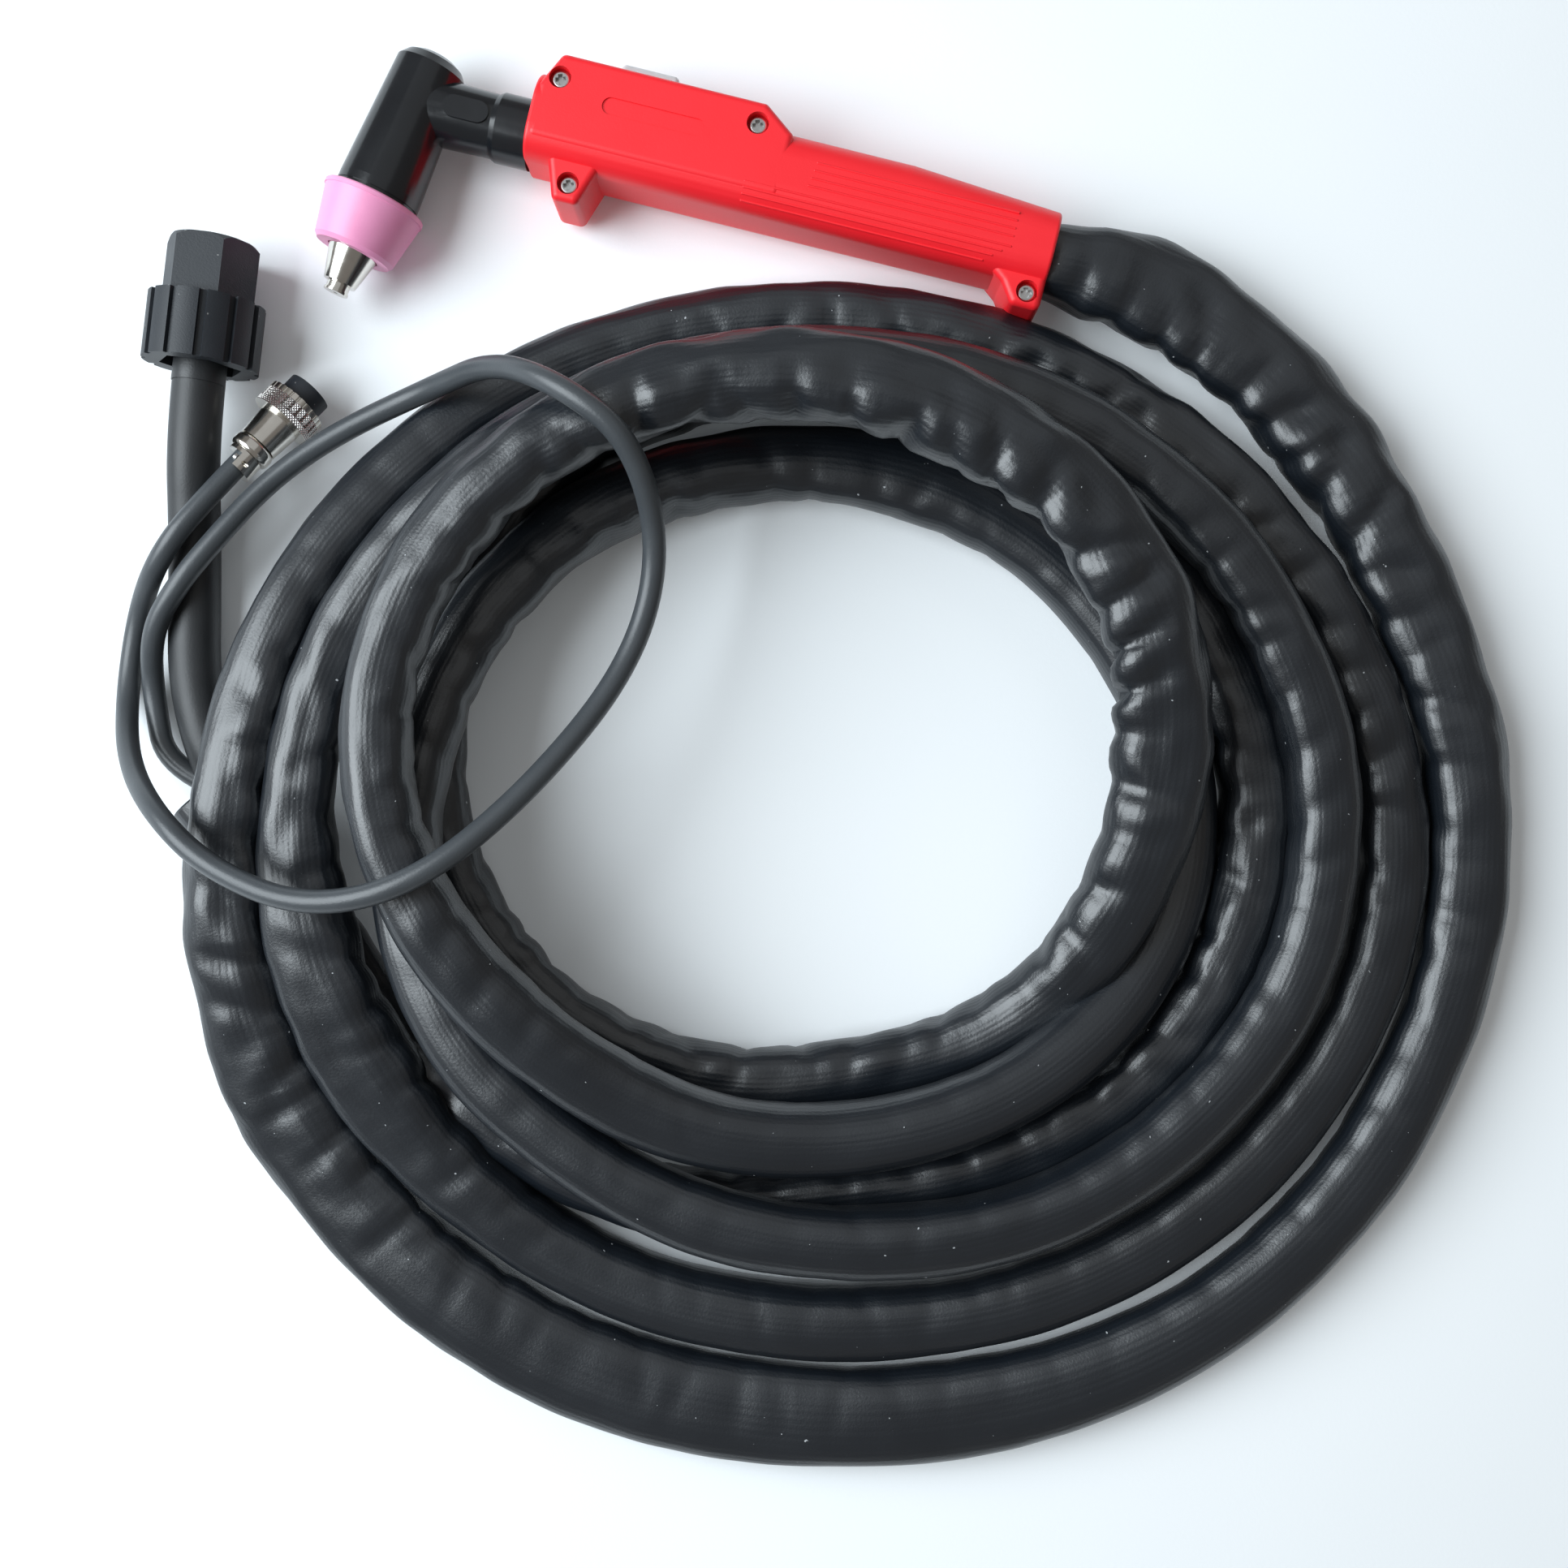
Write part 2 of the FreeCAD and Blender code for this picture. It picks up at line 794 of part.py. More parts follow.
# Torch head moulding with its neck and tail
headDir = V(-math.sin(math.radians(headTurn)), -math.cos(math.radians(headTurn)), 0)
headPoint = V(headX, 0, axisZ)
dome = turned([
    (headTop, 0),
    (headTop, headRadius1 - 4.5),
    (headTop + 1.3, headRadius1 - 2.0),
    (headTop + 3.8, headRadius1),
    (headFront - 4, headRadius2),
    (headFront - 1.5, headRadius2),
    (headFront - 1.5, headRadius2 - 0.4),
    (headFront, headRadius2 - 0.4),
    (headFront, 0),
])
head = along(dome, headPoint, headDir)
neck = Part.makeCone(neckHeadRadius, neckRadius, neckEnd - headX, headPoint, neckAxis)
head = head.fuse(neck)
head = head.fuse(Part.makeCylinder(tailRadius, tailEnd - neckEnd, V(neckEnd, 0, axisZ), neckAxis))
pad = Part.makeCylinder(padWidth / 2, neckRadius + padRise,
                        V(padX - (padLength - padWidth) / 2, 0, axisZ))
pad = pad.fuse(Part.makeCylinder(padWidth / 2, neckRadius + padRise,
                                 V(padX + (padLength - padWidth) / 2 - 2, 0, axisZ)))
pad = pad.fuse(block(padX - (padLength - padWidth) / 2, padX + (padLength - padWidth) / 2 - 2,
                     -padWidth / 2, padWidth / 2, axisZ, axisZ + neckRadius + padRise))
head = head.fuse(pad).removeSplitter()
grooveBack = ribX - ribThick / 2 - slipFit
grooveFront = ribX + ribThick / 2 + slipFit
groove = Part.makeCylinder(tailRadius + 1, grooveFront - grooveBack,
                           V(grooveBack, 0, axisZ), neckAxis)
groove = groove.cut(Part.makeCylinder(tailRadius - tailGroove, grooveFront - grooveBack,
                                      V(grooveBack, 0, axisZ), neckAxis))
head = head.cut(groove)
head = head.cut(along(disc(cathodeRadius, cathodeBack, headFront + 1), headPoint, headDir))
head = head.cut(along(disc(ringRadius, ringBack, headFront + 1), headPoint, headDir))
head = head.cut(Part.makeCylinder(gasTubeRadius, tailEnd + 2 - headX, headPoint, neckAxis))
head = head.cut(passage)
keep("torch_head", head)

collar = turned([
    (neckEnd, tailRadius + runFit),
    (neckEnd, collarRadius - collarBevel / 2),
    (neckEnd + collarBevel, collarRadius),
    (handleFront, collarRadius),
    (handleFront, tailRadius + runFit),
])
keep("neck_collar", along(collar, V(0, 0, axisZ), neckAxis))

# Working parts on the head axis
cathode = disc(cathodeRadius, cathodeBack, cathodeFront)
cathode = cathode.cut(disc(electrodeThread, electrodeBack, cathodeFront + 1))
cathode = cathode.cut(disc(gasTubeBore, 0, electrodeBack + 1))
cathode = along(cathode, headPoint, headDir)
tubeStart = headX + cathodeRadius / 2
cathode = cathode.cut(Part.makeCylinder(gasTubeRadius, 20, V(tubeStart, 0, axisZ), neckAxis))
cathode = cathode.cut(Part.makeCylinder(gasTubeBore, 20, headPoint, neckAxis))
keep("cathode_body", cathode)

gasTube = Part.makeCylinder(gasTubeRadius, gasTubeEnd - tubeStart,
                            V(tubeStart, 0, axisZ), neckAxis)
gasTube = gasTube.cut(Part.makeCylinder(gasTubeBore, gasTubeEnd - tubeStart + 2,
                                        V(tubeStart - 1, 0, axisZ), neckAxis))
keep("gas_tube", gasTube)

contact = disc(ringRadius, ringBack, ringFront, ringBore)
keep("contact_ring", along(contact, headPoint, headDir))

swirl = disc(swirlRadius, swirlBack, ringFront, swirlBore)
for i in range(swirlPorts):
    turn = math.radians(360 * i / swirlPorts)
    port = Part.makeCylinder(0.7, swirlRadius + 2, V(0, 0, (swirlBack + ringFront) / 2),
                             V(math.cos(turn), math.sin(turn), 0))
    port.translate(V(-math.sin(turn) * 1.6, math.cos(turn) * 1.6, 0))
    swirl = swirl.cut(port)
keep("swirl_ring", along(swirl, headPoint, headDir))

electrode = turned([
    (electrodeBack, 0),
    (electrodeBack, electrodeThread),
    (cathodeFront, electrodeThread),
    (cathodeFront, electrodeCollar),
    (swirlBack, electrodeCollar),
    (swirlBack, electrodeRadius),
    (electrodeFront - 2, electrodeRadius),
    (electrodeFront, electrodeRadius - 1.4),
    (electrodeFront, 0),
])
keep("electrode", along(electrode, headPoint, headDir))

cavityFront = nozzleConeEnd - 1.4
nozzle = turned([
    (nozzleBack, nozzleCavity),
    (nozzleBack, nozzleFlange),
    (nozzleBack + nozzleFlangeThick, nozzleFlange),
    (nozzleBack + nozzleFlangeThick, nozzleRadius),
    (nozzleBase, nozzleRadius),
    (nozzleConeEnd, nozzleConeRadius),
    (nozzleConeEnd, nozzleTipRadius),
    (nozzleTip - 0.8, nozzleTipRadius),
    (nozzleTip - 0.8, nozzleTipRadius + 0.3),
    (nozzleTip, nozzleTipRadius + 0.3),
    (nozzleTip, orificeRadius),
    (cavityFront, orificeRadius),
    (cavityFront - 2.9, nozzleCavity - 1.3),
    (nozzleBase, nozzleCavity),
])
keep("nozzle", along(nozzle, headPoint, headDir))

shoulder = nozzleBack + nozzleFlangeThick
cup = turned([
    (cupBack, insertRadius),
    (cupBack, cupBackRadius - 0.4),
    (cupBack + 0.4, cupBackRadius),
    (cupBack + cupRim, cupBackRadius),
    (cupBack + cupRim, cupBackRadius - 0.3),
    (cupFront - 1.2, cupFrontRadius + 0.3),
    (cupFront, cupFrontRadius - 0.7),
    (cupFront, nozzleRadius + looseFit),
    (shoulder, nozzleRadius + looseFit),
    (shoulder, insertRadius),
])
keep("shield_cup", along(cup, headPoint, headDir))

insert = disc(insertRadius, insertBack, shoulder, ringRadius + runFit)
insert = insert.fuse(disc(insertRadius, shoulder - 1.4, shoulder, nozzleFlange + looseFit))
keep("cup_insert", along(insert, headPoint, headDir))
keep("pilot_wire", tube(pilotWire, wireRadius))

# Nipple, hose, ferrule and clamp in the handle
nipple = hexagon(nippleHexFlats, nippleHexFront, nippleHexEnd)
nipple = nipple.fuse(disc(nippleHexFlats / 2 - 0.8, nippleBack, nippleHexFront))
nipple = nipple.fuse(disc(hoseBore - barbNeck, nippleHexEnd, nippleEnd))
for i in range(4):
    start = nippleHexEnd + 1.5 + i * barbPitch
    barb = Part.makeCone(hoseBore, hoseBore - barbNeck, barbPitch * 0.8, V(0, 0, start))
    nipple = nipple.fuse(barb)
nipple = nipple.cut(disc(gasTubeRadius, nippleBack - 1, gasTubeEnd))
nipple = nipple.cut(disc(gasTubeBore, gasTubeEnd - 1, nippleEnd + 1))
keep("hose_nipple", along(nipple, V(0, 0, axisZ), neckAxis))

hoseEnd = handleRear + slipFit
ferruleEnd = hoseStart + ferruleLength
hose = disc(hoseRadius - ferruleSink, hoseStart, ferruleEnd + 1)
hose = hose.fuse(disc(hoseRadius, ferruleEnd, hoseEnd)).cut(disc(hoseBore, hoseStart - 1, hoseEnd + 1))
keep("inner_hose", along(hose, V(0, 0, axisZ), neckAxis))
ferrule = disc(hoseRadius - ferruleSink + ferruleWall, hoseStart, ferruleEnd,
               hoseRadius - ferruleSink)
keep("hose_ferrule", along(ferrule, V(0, 0, axisZ), neckAxis))
clamp = disc(hoseRadius + clampWall, clampX - clampWidth / 2 + runFit, clampX + clampWidth / 2 - runFit,
             hoseRadius)
clampBody = along(clamp, V(0, 0, axisZ), neckAxis)
clampEar = block(clampX - clampWidth / 2 + runFit, clampX + clampWidth / 2 - runFit, -1.6, 1.6,
                 axisZ - hoseRadius - clampWall - 2.4, axisZ - hoseRadius - clampWall / 2)
clampBody = clampBody.fuse(clampEar).common(room).removeSplitter()
keep("hose_clamp", clampBody)

# Trigger, spring and switch
innerY = wingHigh - shellWall
flangeY = innerY - runFit - triggerFlange
button = block(triggerX - triggerLength / 2, triggerX + triggerLength / 2,
               flangeY, wingHigh + triggerRise, axisZ - triggerWidth / 2, axisZ + triggerWidth / 2)
outerEdges = [edge for edge in button.Edges if edge.BoundBox.YMax > wingHigh + triggerRise - 1e-4]
button = button.makeFillet(triggerSoft, outerEdges)
button = button.fuse(block(
    triggerX - triggerLength / 2 - triggerLip, triggerX + triggerLength / 2 + triggerLip,
    flangeY, flangeY + triggerFlange,
    axisZ - triggerWidth / 2 - triggerLip, axisZ + triggerWidth / 2 + triggerLip))
pocket = disc(springRadius + looseFit, 0, pocketDepth).cut(disc(stemRadius, -1, pocketDepth + 1))
button = button.cut(along(pocket, V(triggerX, flangeY, axisZ), V(0, 1, 0)))
keep("trigger_button", button.removeSplitter())

springLow = switchTopY + runFit
springHigh = flangeY + pocketDepth - runFit
springRun = springHigh - springLow - springWire
helix = Part.makeHelix(springRun / springTurns, springRun, springRadius - springWire / 2)
start = helix.Edges[0]
profile = Part.Wire(Part.Circle(start.valueAt(start.FirstParameter),
                                start.tangentAt(start.FirstParameter), springWire / 2).toShape())
pipe = Part.BRepOffsetAPI.MakePipeShell(helix)
pipe.setFrenetMode(True)
pipe.add(profile)
pipe.build()
pipe.makeSolid()
spring = along(pipe.shape(), V(triggerX, springLow + springWire / 2, axisZ), V(0, 1, 0))
keep("trigger_spring", spring)

body = block(triggerX - switchLength / 2, triggerX + switchLength / 2,
             switchTopY - switchThick, switchTopY,
             axisZ - switchHeight / 2, axisZ + switchHeight / 2)
body = body.cut(Part.makeCylinder(plungerRadius + runFit, plungerSunk + triggerStroke + 1,
                                  V(triggerX, switchTopY - plungerSunk - triggerStroke, axisZ),
                                  V(0, 1, 0)))
keep("switch_body", body)
plunger = Part.makeCylinder(plungerRadius, flangeY - switchTopY + plungerSunk,
                            V(triggerX, switchTopY - plungerSunk, axisZ), V(0, 1, 0))
keep("switch_plunger", plunger)
tabs = []
for sign in (-1, 1):
    z = axisZ + sign * wireSpread
    tabs.append(block(triggerX + switchLength / 2, switchEnd, wireY - tabThick / 2,
                      wireY + tabThick / 2, z - tabWidth / 2, z + tabWidth / 2))
keep("switch_terminals", Part.Compound(tabs))
keep("switch_wires", Part.Compound(switchWires))

# Sheath: first stretch, coil and open end
route, tangents = coilRoute()
coilStart = route[0]
lastRun = 48.3
sheathPoints = [
    (wireEnd, 0, axisZ),
    (123.2, 0, axisZ),
    (188.8, -37.0, sheathRadius),
    tuple(coilStart - tangents[0] * lastRun),
    tuple(coilStart),
]
stretchWire, stretchRadii = runs(sheathPoints)
stretch = tube(stretchWire, sheathRadius)
report("sheath_stretch", stretchWire, stretchRadii, stretch, math.pi * sheathRadius ** 2)
stretch = stretch.cut(Part.makeCylinder(hoseRadius, hoseEnd - wireEnd,
                                        V(wireEnd, 0, axisZ), neckAxis))
keep("sheath_stretch", stretch)

spine = coilWire()
coil = tube(spine, sheathRadius)
coilRadii = [edge.Curve.Radius for edge in spine.Edges if hasattr(edge.Curve, "Radius")]
report("sheath_coil", spine, coilRadii, coil, math.pi * sheathRadius ** 2)
keep("sheath_coil", coil)
coilPoints = sampled(spine, 6.0)
gap, place = leastGap(coilPoints, sheathRadius, turnApart)
print("coil: least gap to itself %.2f at (%.0f, %.0f, %.0f)" % (gap, place.x, place.y, place.z))

mouthBase, heading = mouthStart()
taper = Part.makeLoft([stadium(2 * sheathRadius, 2 * sheathRadius - 0.001, 0),
                       stadium(mouthWide, 2 * sheathRadius, mouthTaper)], True, True)
mouthTube = Part.Face(stadium(mouthWide, 2 * sheathRadius, mouthTaper)).extrude(V(0, 0, mouthLength))
inner = Part.Face(stadium(mouthWide - 2 * sheathWall, 2 * (sheathRadius - sheathWall), mouthTaper))
mouthTube = mouthTube.cut(inner.extrude(V(0, 0, mouthLength + 1)))
sleeve = along(taper.fuse(mouthTube), mouthBase, heading)
keep("sheath_end", sleeve)

# Gas hose and trigger lead outside the sheath
nutDir = V(math.cos(math.radians(nutTurn)), math.sin(math.radians(nutTurn)), 0)
nutRear = V(nutX, nutY, nutRibRadius)
sideways = V(-heading.y, heading.x, 0)
mouthEnd = V(mouthX, mouthY, sheathRadius)
hoseFrom = mouthEnd - sideways * hoseShift - heading * hoseInMouth - V(0, 0, hoseDrop)
hoseRoute = [tuple(hoseFrom)] + hosePoints
hoseRoute += [tuple(nutRear - nutDir * hoseStraight), tuple(nutRear + nutDir * hoseInNut)]
hoseWire, hoseRadii = runs(hoseRoute)
gasHose = tube(hoseWire, hoseRadius)
report("gas_hose", hoseWire, hoseRadii, gasHose, math.pi * hoseRadius ** 2)
gasHose = gasHose.cut(along(disc(hoseBore, -stemBarb, 1), nutRear + nutDir * hoseInNut, nutDir))
gasHose = gasHose.cut(along(disc(hoseRadius + 1, -ferruleLength, 1, hoseRadius - ferruleSink),
                            nutRear + nutDir * hoseInNut, nutDir))
keep("gas_hose", gasHose)

dip = math.radians(plugDip)
plugDir = V(math.cos(math.radians(plugTurn)) * math.cos(dip),
            math.sin(math.radians(plugTurn)) * math.cos(dip), -math.sin(dip))
plugRear = V(plugX, plugY, plugZ)
leadFrom = mouthEnd + sideways * leadShift - heading * leadInMouth
leadRoute = [tuple(leadFrom)] + leadPoints
leadRoute += [tuple(plugRear - plugDir * leadStraight), tuple(plugRear + plugDir * leadInPlug)]
leadWire, leadRadii = runs(leadRoute)
lead = tube(leadWire, leadRadius)
report("trigger_lead", leadWire, leadRadii, lead, math.pi * leadRadius ** 2)
keep("trigger_lead", lead)
leadAt = sampled(leadWire, 4.0)
hoseAt = sampled(hoseWire, 4.0)
print("lead radii", " ".join("%.0f" % r for r in leadRadii))
print("hose radii", " ".join("%.0f" % r for r in hoseRadii))
print("sheath radii", " ".join("%.0f" % r for r in stretchRadii))
print("lead to itself", "%.2f" % leastGap(leadAt, leadRadius, leadApart)[0])
print("lead to coil", gapBetween(leadAt, coilPoints, leadRadius + sheathRadius))
print("lead to hose", gapBetween(leadAt, hoseAt, leadRadius + hoseRadius))
print("stretch to coil", gapBetween(sampled(stretchWire, 5.0)[:-12], coilPoints, 2 * sheathRadius))
print("hose to coil", gapBetween(hoseAt, coilPoints, hoseRadius + sheathRadius))

# Hand nut, union nut, stem and ferrule
nut = disc(nutRibRadius - nutGroove, 0, nutFlange)
for i in range(nutRibs):
    rib = block(0, nutRibRadius, -nutRibWidth / 2, nutRibWidth / 2, 0, nutFlange)
    rib.rotate(V(0, 0, 0), V(0, 0, 1), 360 * i / nutRibs)
    nut = nut.fuse(rib)
nut = nut.common(disc(nutRibRadius, 0, nutFlange))
hexEnd = hexagon(nutFlats, nutFlange - 1, nutLength)
cornerRadius = nutFlats / 2 / math.cos(math.radians(30))
bevel = turned([
    (nutFlange - 2, 0),
    (nutFlange - 2, cornerRadius + 1),
    (nutLength - nutBevel, cornerRadius + 1),
    (nutLength - nutBevel, cornerRadius),
    (nutLength, cornerRadius - nutBevel),
    (nutLength, 0),
])
nut = nut.fuse(hexEnd.common(bevel)).removeSplitter()
nut = nut.cut(hexagon(nutMouthFlats, -1, nutMouthDepth))
nut = nut.cut(disc(nutBore, -1, nutLength + 1))
keep("hand_nut", along(nut, nutRear, nutDir))

seat = unionBack + unionShoulder
union = disc(nutBore - runFit, unionBack, nutLength - unionInset, unionBore)
union = union.fuse(disc(nutBore - runFit, unionBack, seat, stemShank + slipFit))
union = union.cut(disc(unionRelief, seat, seat + stemHeadThick + stemNose + looseFit))
keep("union_nut", along(union.removeSplitter(), nutRear, nutDir))

stem = turned([
    (hoseInNut - stemBarb, 0),
    (hoseInNut - stemBarb, hoseBore - barbNeck),
    (hoseInNut - stemBarb + 2, hoseBore),
    (hoseInNut, hoseBore),
    (hoseInNut, stemShank),
    (seat + runFit, stemShank),
    (seat + runFit, stemHead),
    (seat + stemHeadThick, stemHead),
    (seat + stemHeadThick + stemNose, stemShank),
    (seat + stemHeadThick + stemNose, 0),
])
stem = stem.cut(disc(stemBore, hoseInNut - stemBarb - 1, seat + stemHeadThick + stemNose + 1))
keep("hose_stem", along(stem, nutRear, nutDir))
crimp = disc(hoseRadius - ferruleSink + ferruleWall, hoseInNut - ferruleLength, hoseInNut,
             hoseRadius - ferruleSink)
keep("stem_ferrule", along(crimp, nutRear, nutDir))

# Lead plug
ringStart = clampLength
barrelStart = ringStart + rearRingLength
couplingStart = barrelStart + barrelLength
couplingEnd = couplingStart + couplingLength
plugEnd = couplingEnd + insertStand
clampHalf = disc(clampRadius, 0, clampLength, leadRadius + runFit)
clampHalf = clampHalf.cut(block(-clampSplit / 2, clampSplit / 2, -20, 20, -1, clampLength - 1.2))
screwY = (clampRadius + leadRadius) / 2
screwZ = clampLength / 2 - 0.4
screwHoles = []
clampScrews = []
for sign in (-1, 1):
    at = V(-clampRadius, sign * screwY, screwZ)
    screwHoles.append(Part.makeCylinder(clampScrewRadius * 0.6 + runFit, 2 * clampRadius, at, V(1, 0, 0)))
    flat = math.sqrt(clampRadius ** 2 - (screwY + clampScrewRadius) ** 2)
    shank = Part.makeCylinder(clampScrewRadius * 0.6, 2 * flat,
                              V(-flat, sign * screwY, screwZ), V(1, 0, 0))
    cap = Part.makeCylinder(clampScrewRadius, 0.9, V(flat, sign * screwY, screwZ), V(1, 0, 0))
    clampScrews.append(shank.fuse(cap))
for hole in screwHoles:
    clampHalf = clampHalf.cut(hole)
flat = math.sqrt(clampRadius ** 2 - (screwY + clampScrewRadius) ** 2)
clampHalf = clampHalf.cut(block(flat, 20, -20, 20, -1, clampLength - 1.2))
keep("plug_clamp", along(clampHalf, plugRear, plugDir))
keep("plug_clamp_screws", along(Part.Compound(clampScrews), plugRear, plugDir))

rearRing = disc(rearRingRadius, ringStart, barrelStart, leadRadius + slipFit)
rims = [edge for edge in rearRing.Edges if edge.BoundBox.XMax > rearRingRadius - 0.01
        and edge.BoundBox.ZLength < 0.01]
rearRing = rearRing.makeFillet(rearRingLength / 3, rims)
keep("plug_rear_ring", along(rearRing, plugRear, plugDir))

shellTube = turned([
    (barrelStart, leadRadius + slipFit),
    (barrelStart, barrelFrontRadius),
    (couplingStart - 1.5, barrelRadius),
    (couplingStart, barrelRadius),
    (couplingStart, barrelFrontRadius),
    (couplingEnd + slipFit, barrelFrontRadius),
    (couplingEnd + slipFit, barrelBore),
    (barrelStart + 1.5, barrelBore),
    (barrelStart + 1.5, leadRadius + slipFit),
])
keep("plug_shell", along(shellTube, plugRear, plugDir))

coupling = disc(couplingRadius, couplingStart, couplingStart + couplingLip)
knurled = disc(couplingRadius - knurlDepth / 2, couplingStart + couplingLip, couplingEnd)
for i in range(knurlCount):
    turn = math.radians(360 * i / knurlCount)
    reach = couplingRadius - knurlDepth / 2
    knurled = knurled.cut(Part.makeCylinder(
        knurlDepth, couplingLength, V(reach * math.cos(turn), reach * math.sin(turn),
                                      couplingStart + couplingLip)))
coupling = coupling.fuse(knurled)
coupling = coupling.cut(disc(barrelFrontRadius + runFit, couplingStart - 1, couplingEnd + 1))
keep("plug_coupling_ring", along(coupling.removeSplitter(), plugRear, plugDir))

plugInsert = disc(insertFlange, couplingEnd + slipFit, plugEnd)
plugInsert = plugInsert.fuse(disc(barrelBore, couplingEnd - 6, couplingEnd + 1))
plugInsert = plugInsert.cut(disc(insertRecessRadius, plugEnd - insertRecess, plugEnd + 1))
pins = []
for sign in (-1, 1):
    pin = Part.makeCylinder(pinRadius, insertRecess + 4.5,
                            V(sign * pinSpread, 0, plugEnd - insertRecess - 4.8))
    plugInsert = plugInsert.cut(pin)
    pins.append(pin)
keep("plug_insert", along(plugInsert.removeSplitter(), plugRear, plugDir))
keep("plug_pins", along(Part.Compound(pins), plugRear, plugDir))
print("pieces", len(pieces))
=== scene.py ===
import json
import math
import random

import bmesh
import bpy
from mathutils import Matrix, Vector, noise


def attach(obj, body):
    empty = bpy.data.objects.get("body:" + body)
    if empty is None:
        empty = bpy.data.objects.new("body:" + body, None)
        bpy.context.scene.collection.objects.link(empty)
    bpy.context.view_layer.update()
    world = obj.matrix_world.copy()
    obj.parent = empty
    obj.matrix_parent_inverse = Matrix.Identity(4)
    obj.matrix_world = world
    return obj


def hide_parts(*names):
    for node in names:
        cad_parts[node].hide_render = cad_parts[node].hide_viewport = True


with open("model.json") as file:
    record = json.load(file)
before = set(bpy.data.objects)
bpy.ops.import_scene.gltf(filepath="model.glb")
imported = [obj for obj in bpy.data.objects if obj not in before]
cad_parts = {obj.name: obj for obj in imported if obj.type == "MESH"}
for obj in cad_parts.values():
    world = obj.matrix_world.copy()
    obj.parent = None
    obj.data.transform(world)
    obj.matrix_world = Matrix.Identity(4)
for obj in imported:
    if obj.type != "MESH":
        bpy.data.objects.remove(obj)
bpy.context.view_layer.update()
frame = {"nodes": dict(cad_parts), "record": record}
nodes = frame["nodes"]
mm = 0.001
print("torch: frame loaded")


# Camera, floor and light

cameraSetup = {"x": 0.0401, "y": -0.1666, "height": 0.525, "turn": 13.9, "angle": 48.5}


def makeCamera():
    data = bpy.data.cameras.new("camera")
    data.sensor_width = 36
    data.lens = 18 / math.tan(math.radians(cameraSetup["angle"] / 2))
    data.clip_start = 0.01
    camera = bpy.data.objects.new("camera", data)
    camera.location = (cameraSetup["x"], cameraSetup["y"], cameraSetup["height"])
    camera.rotation_euler = (0, 0, math.radians(cameraSetup["turn"]))
    bpy.context.scene.collection.objects.link(camera)
    bpy.context.scene.camera = camera


def photoWay(right, up, rise):
    # right and up as the photograph shows them, turned into the row frame
    turn = math.radians(cameraSetup["turn"])
    return Vector((right * math.cos(turn) - up * math.sin(turn),
                   right * math.sin(turn) + up * math.cos(turn), rise))


windows = [
    {"name": "window", "way": (-1.0, 0.12, 0.95), "far": 1.5, "wide": 1.2, "tall": 1.2,
     "power": 36, "colour": (0.87, 0.95, 1.0)},
    {"name": "ceiling", "way": (0.25, 0.55, 1.0), "far": 1.7, "wide": 1.8, "tall": 1.8,
     "power": 3, "colour": (0.90, 0.96, 1.0)},
]


def makeLights():
    middle = Vector((cameraSetup["x"], cameraSetup["y"], 0))
    for window in windows:
        data = bpy.data.lights.new(window["name"], "AREA")
        data.shape = "RECTANGLE"
        data.size = window["wide"]
        data.size_y = window["tall"]
        data.energy = window["power"]
        data.color = window["colour"]
        lamp = bpy.data.objects.new(window["name"], data)
        way = photoWay(*window["way"]).normalized()
        lamp.location = middle + way * window["far"]
        lamp.rotation_euler = (-way).to_track_quat("-Z", "Y").to_euler()
        bpy.context.scene.collection.objects.link(lamp)


class Wire:
    # a socket that takes part in sums: each operator adds its own Math node
    def __init__(self, finish, socket):
        self.finish = finish
        self.socket = socket

    def sum(self, operation, a, b=None):
        values = {0: a} if b is None else {0: a, 1: b}
        return self.finish.node("ShaderNodeMath", {"operation": operation}, values)["Value"]

    def __add__(self, other):
        return self.sum("ADD", self, other)

    def __radd__(self, other):
        return self.sum("ADD", other, self)

    def __sub__(self, other):
        return self.sum("SUBTRACT", self, other)

    def __rsub__(self, other):
        return self.sum("SUBTRACT", other, self)

    def __mul__(self, other):
        return self.sum("MULTIPLY", self, other)

    def __rmul__(self, other):
        return self.sum("MULTIPLY", other, self)

    def over(self, level):
        return self.sum("GREATER_THAN", self, level)

    def clamped(self):
        return self.sum("MINIMUM", self.sum("MAXIMUM", self, 0.0), 1.0)


class Outputs:
    def __init__(self, finish, node):
        self.finish = finish
        self.node = node

    def __getitem__(self, name):
        return Wire(self.finish, self.node.outputs[name])


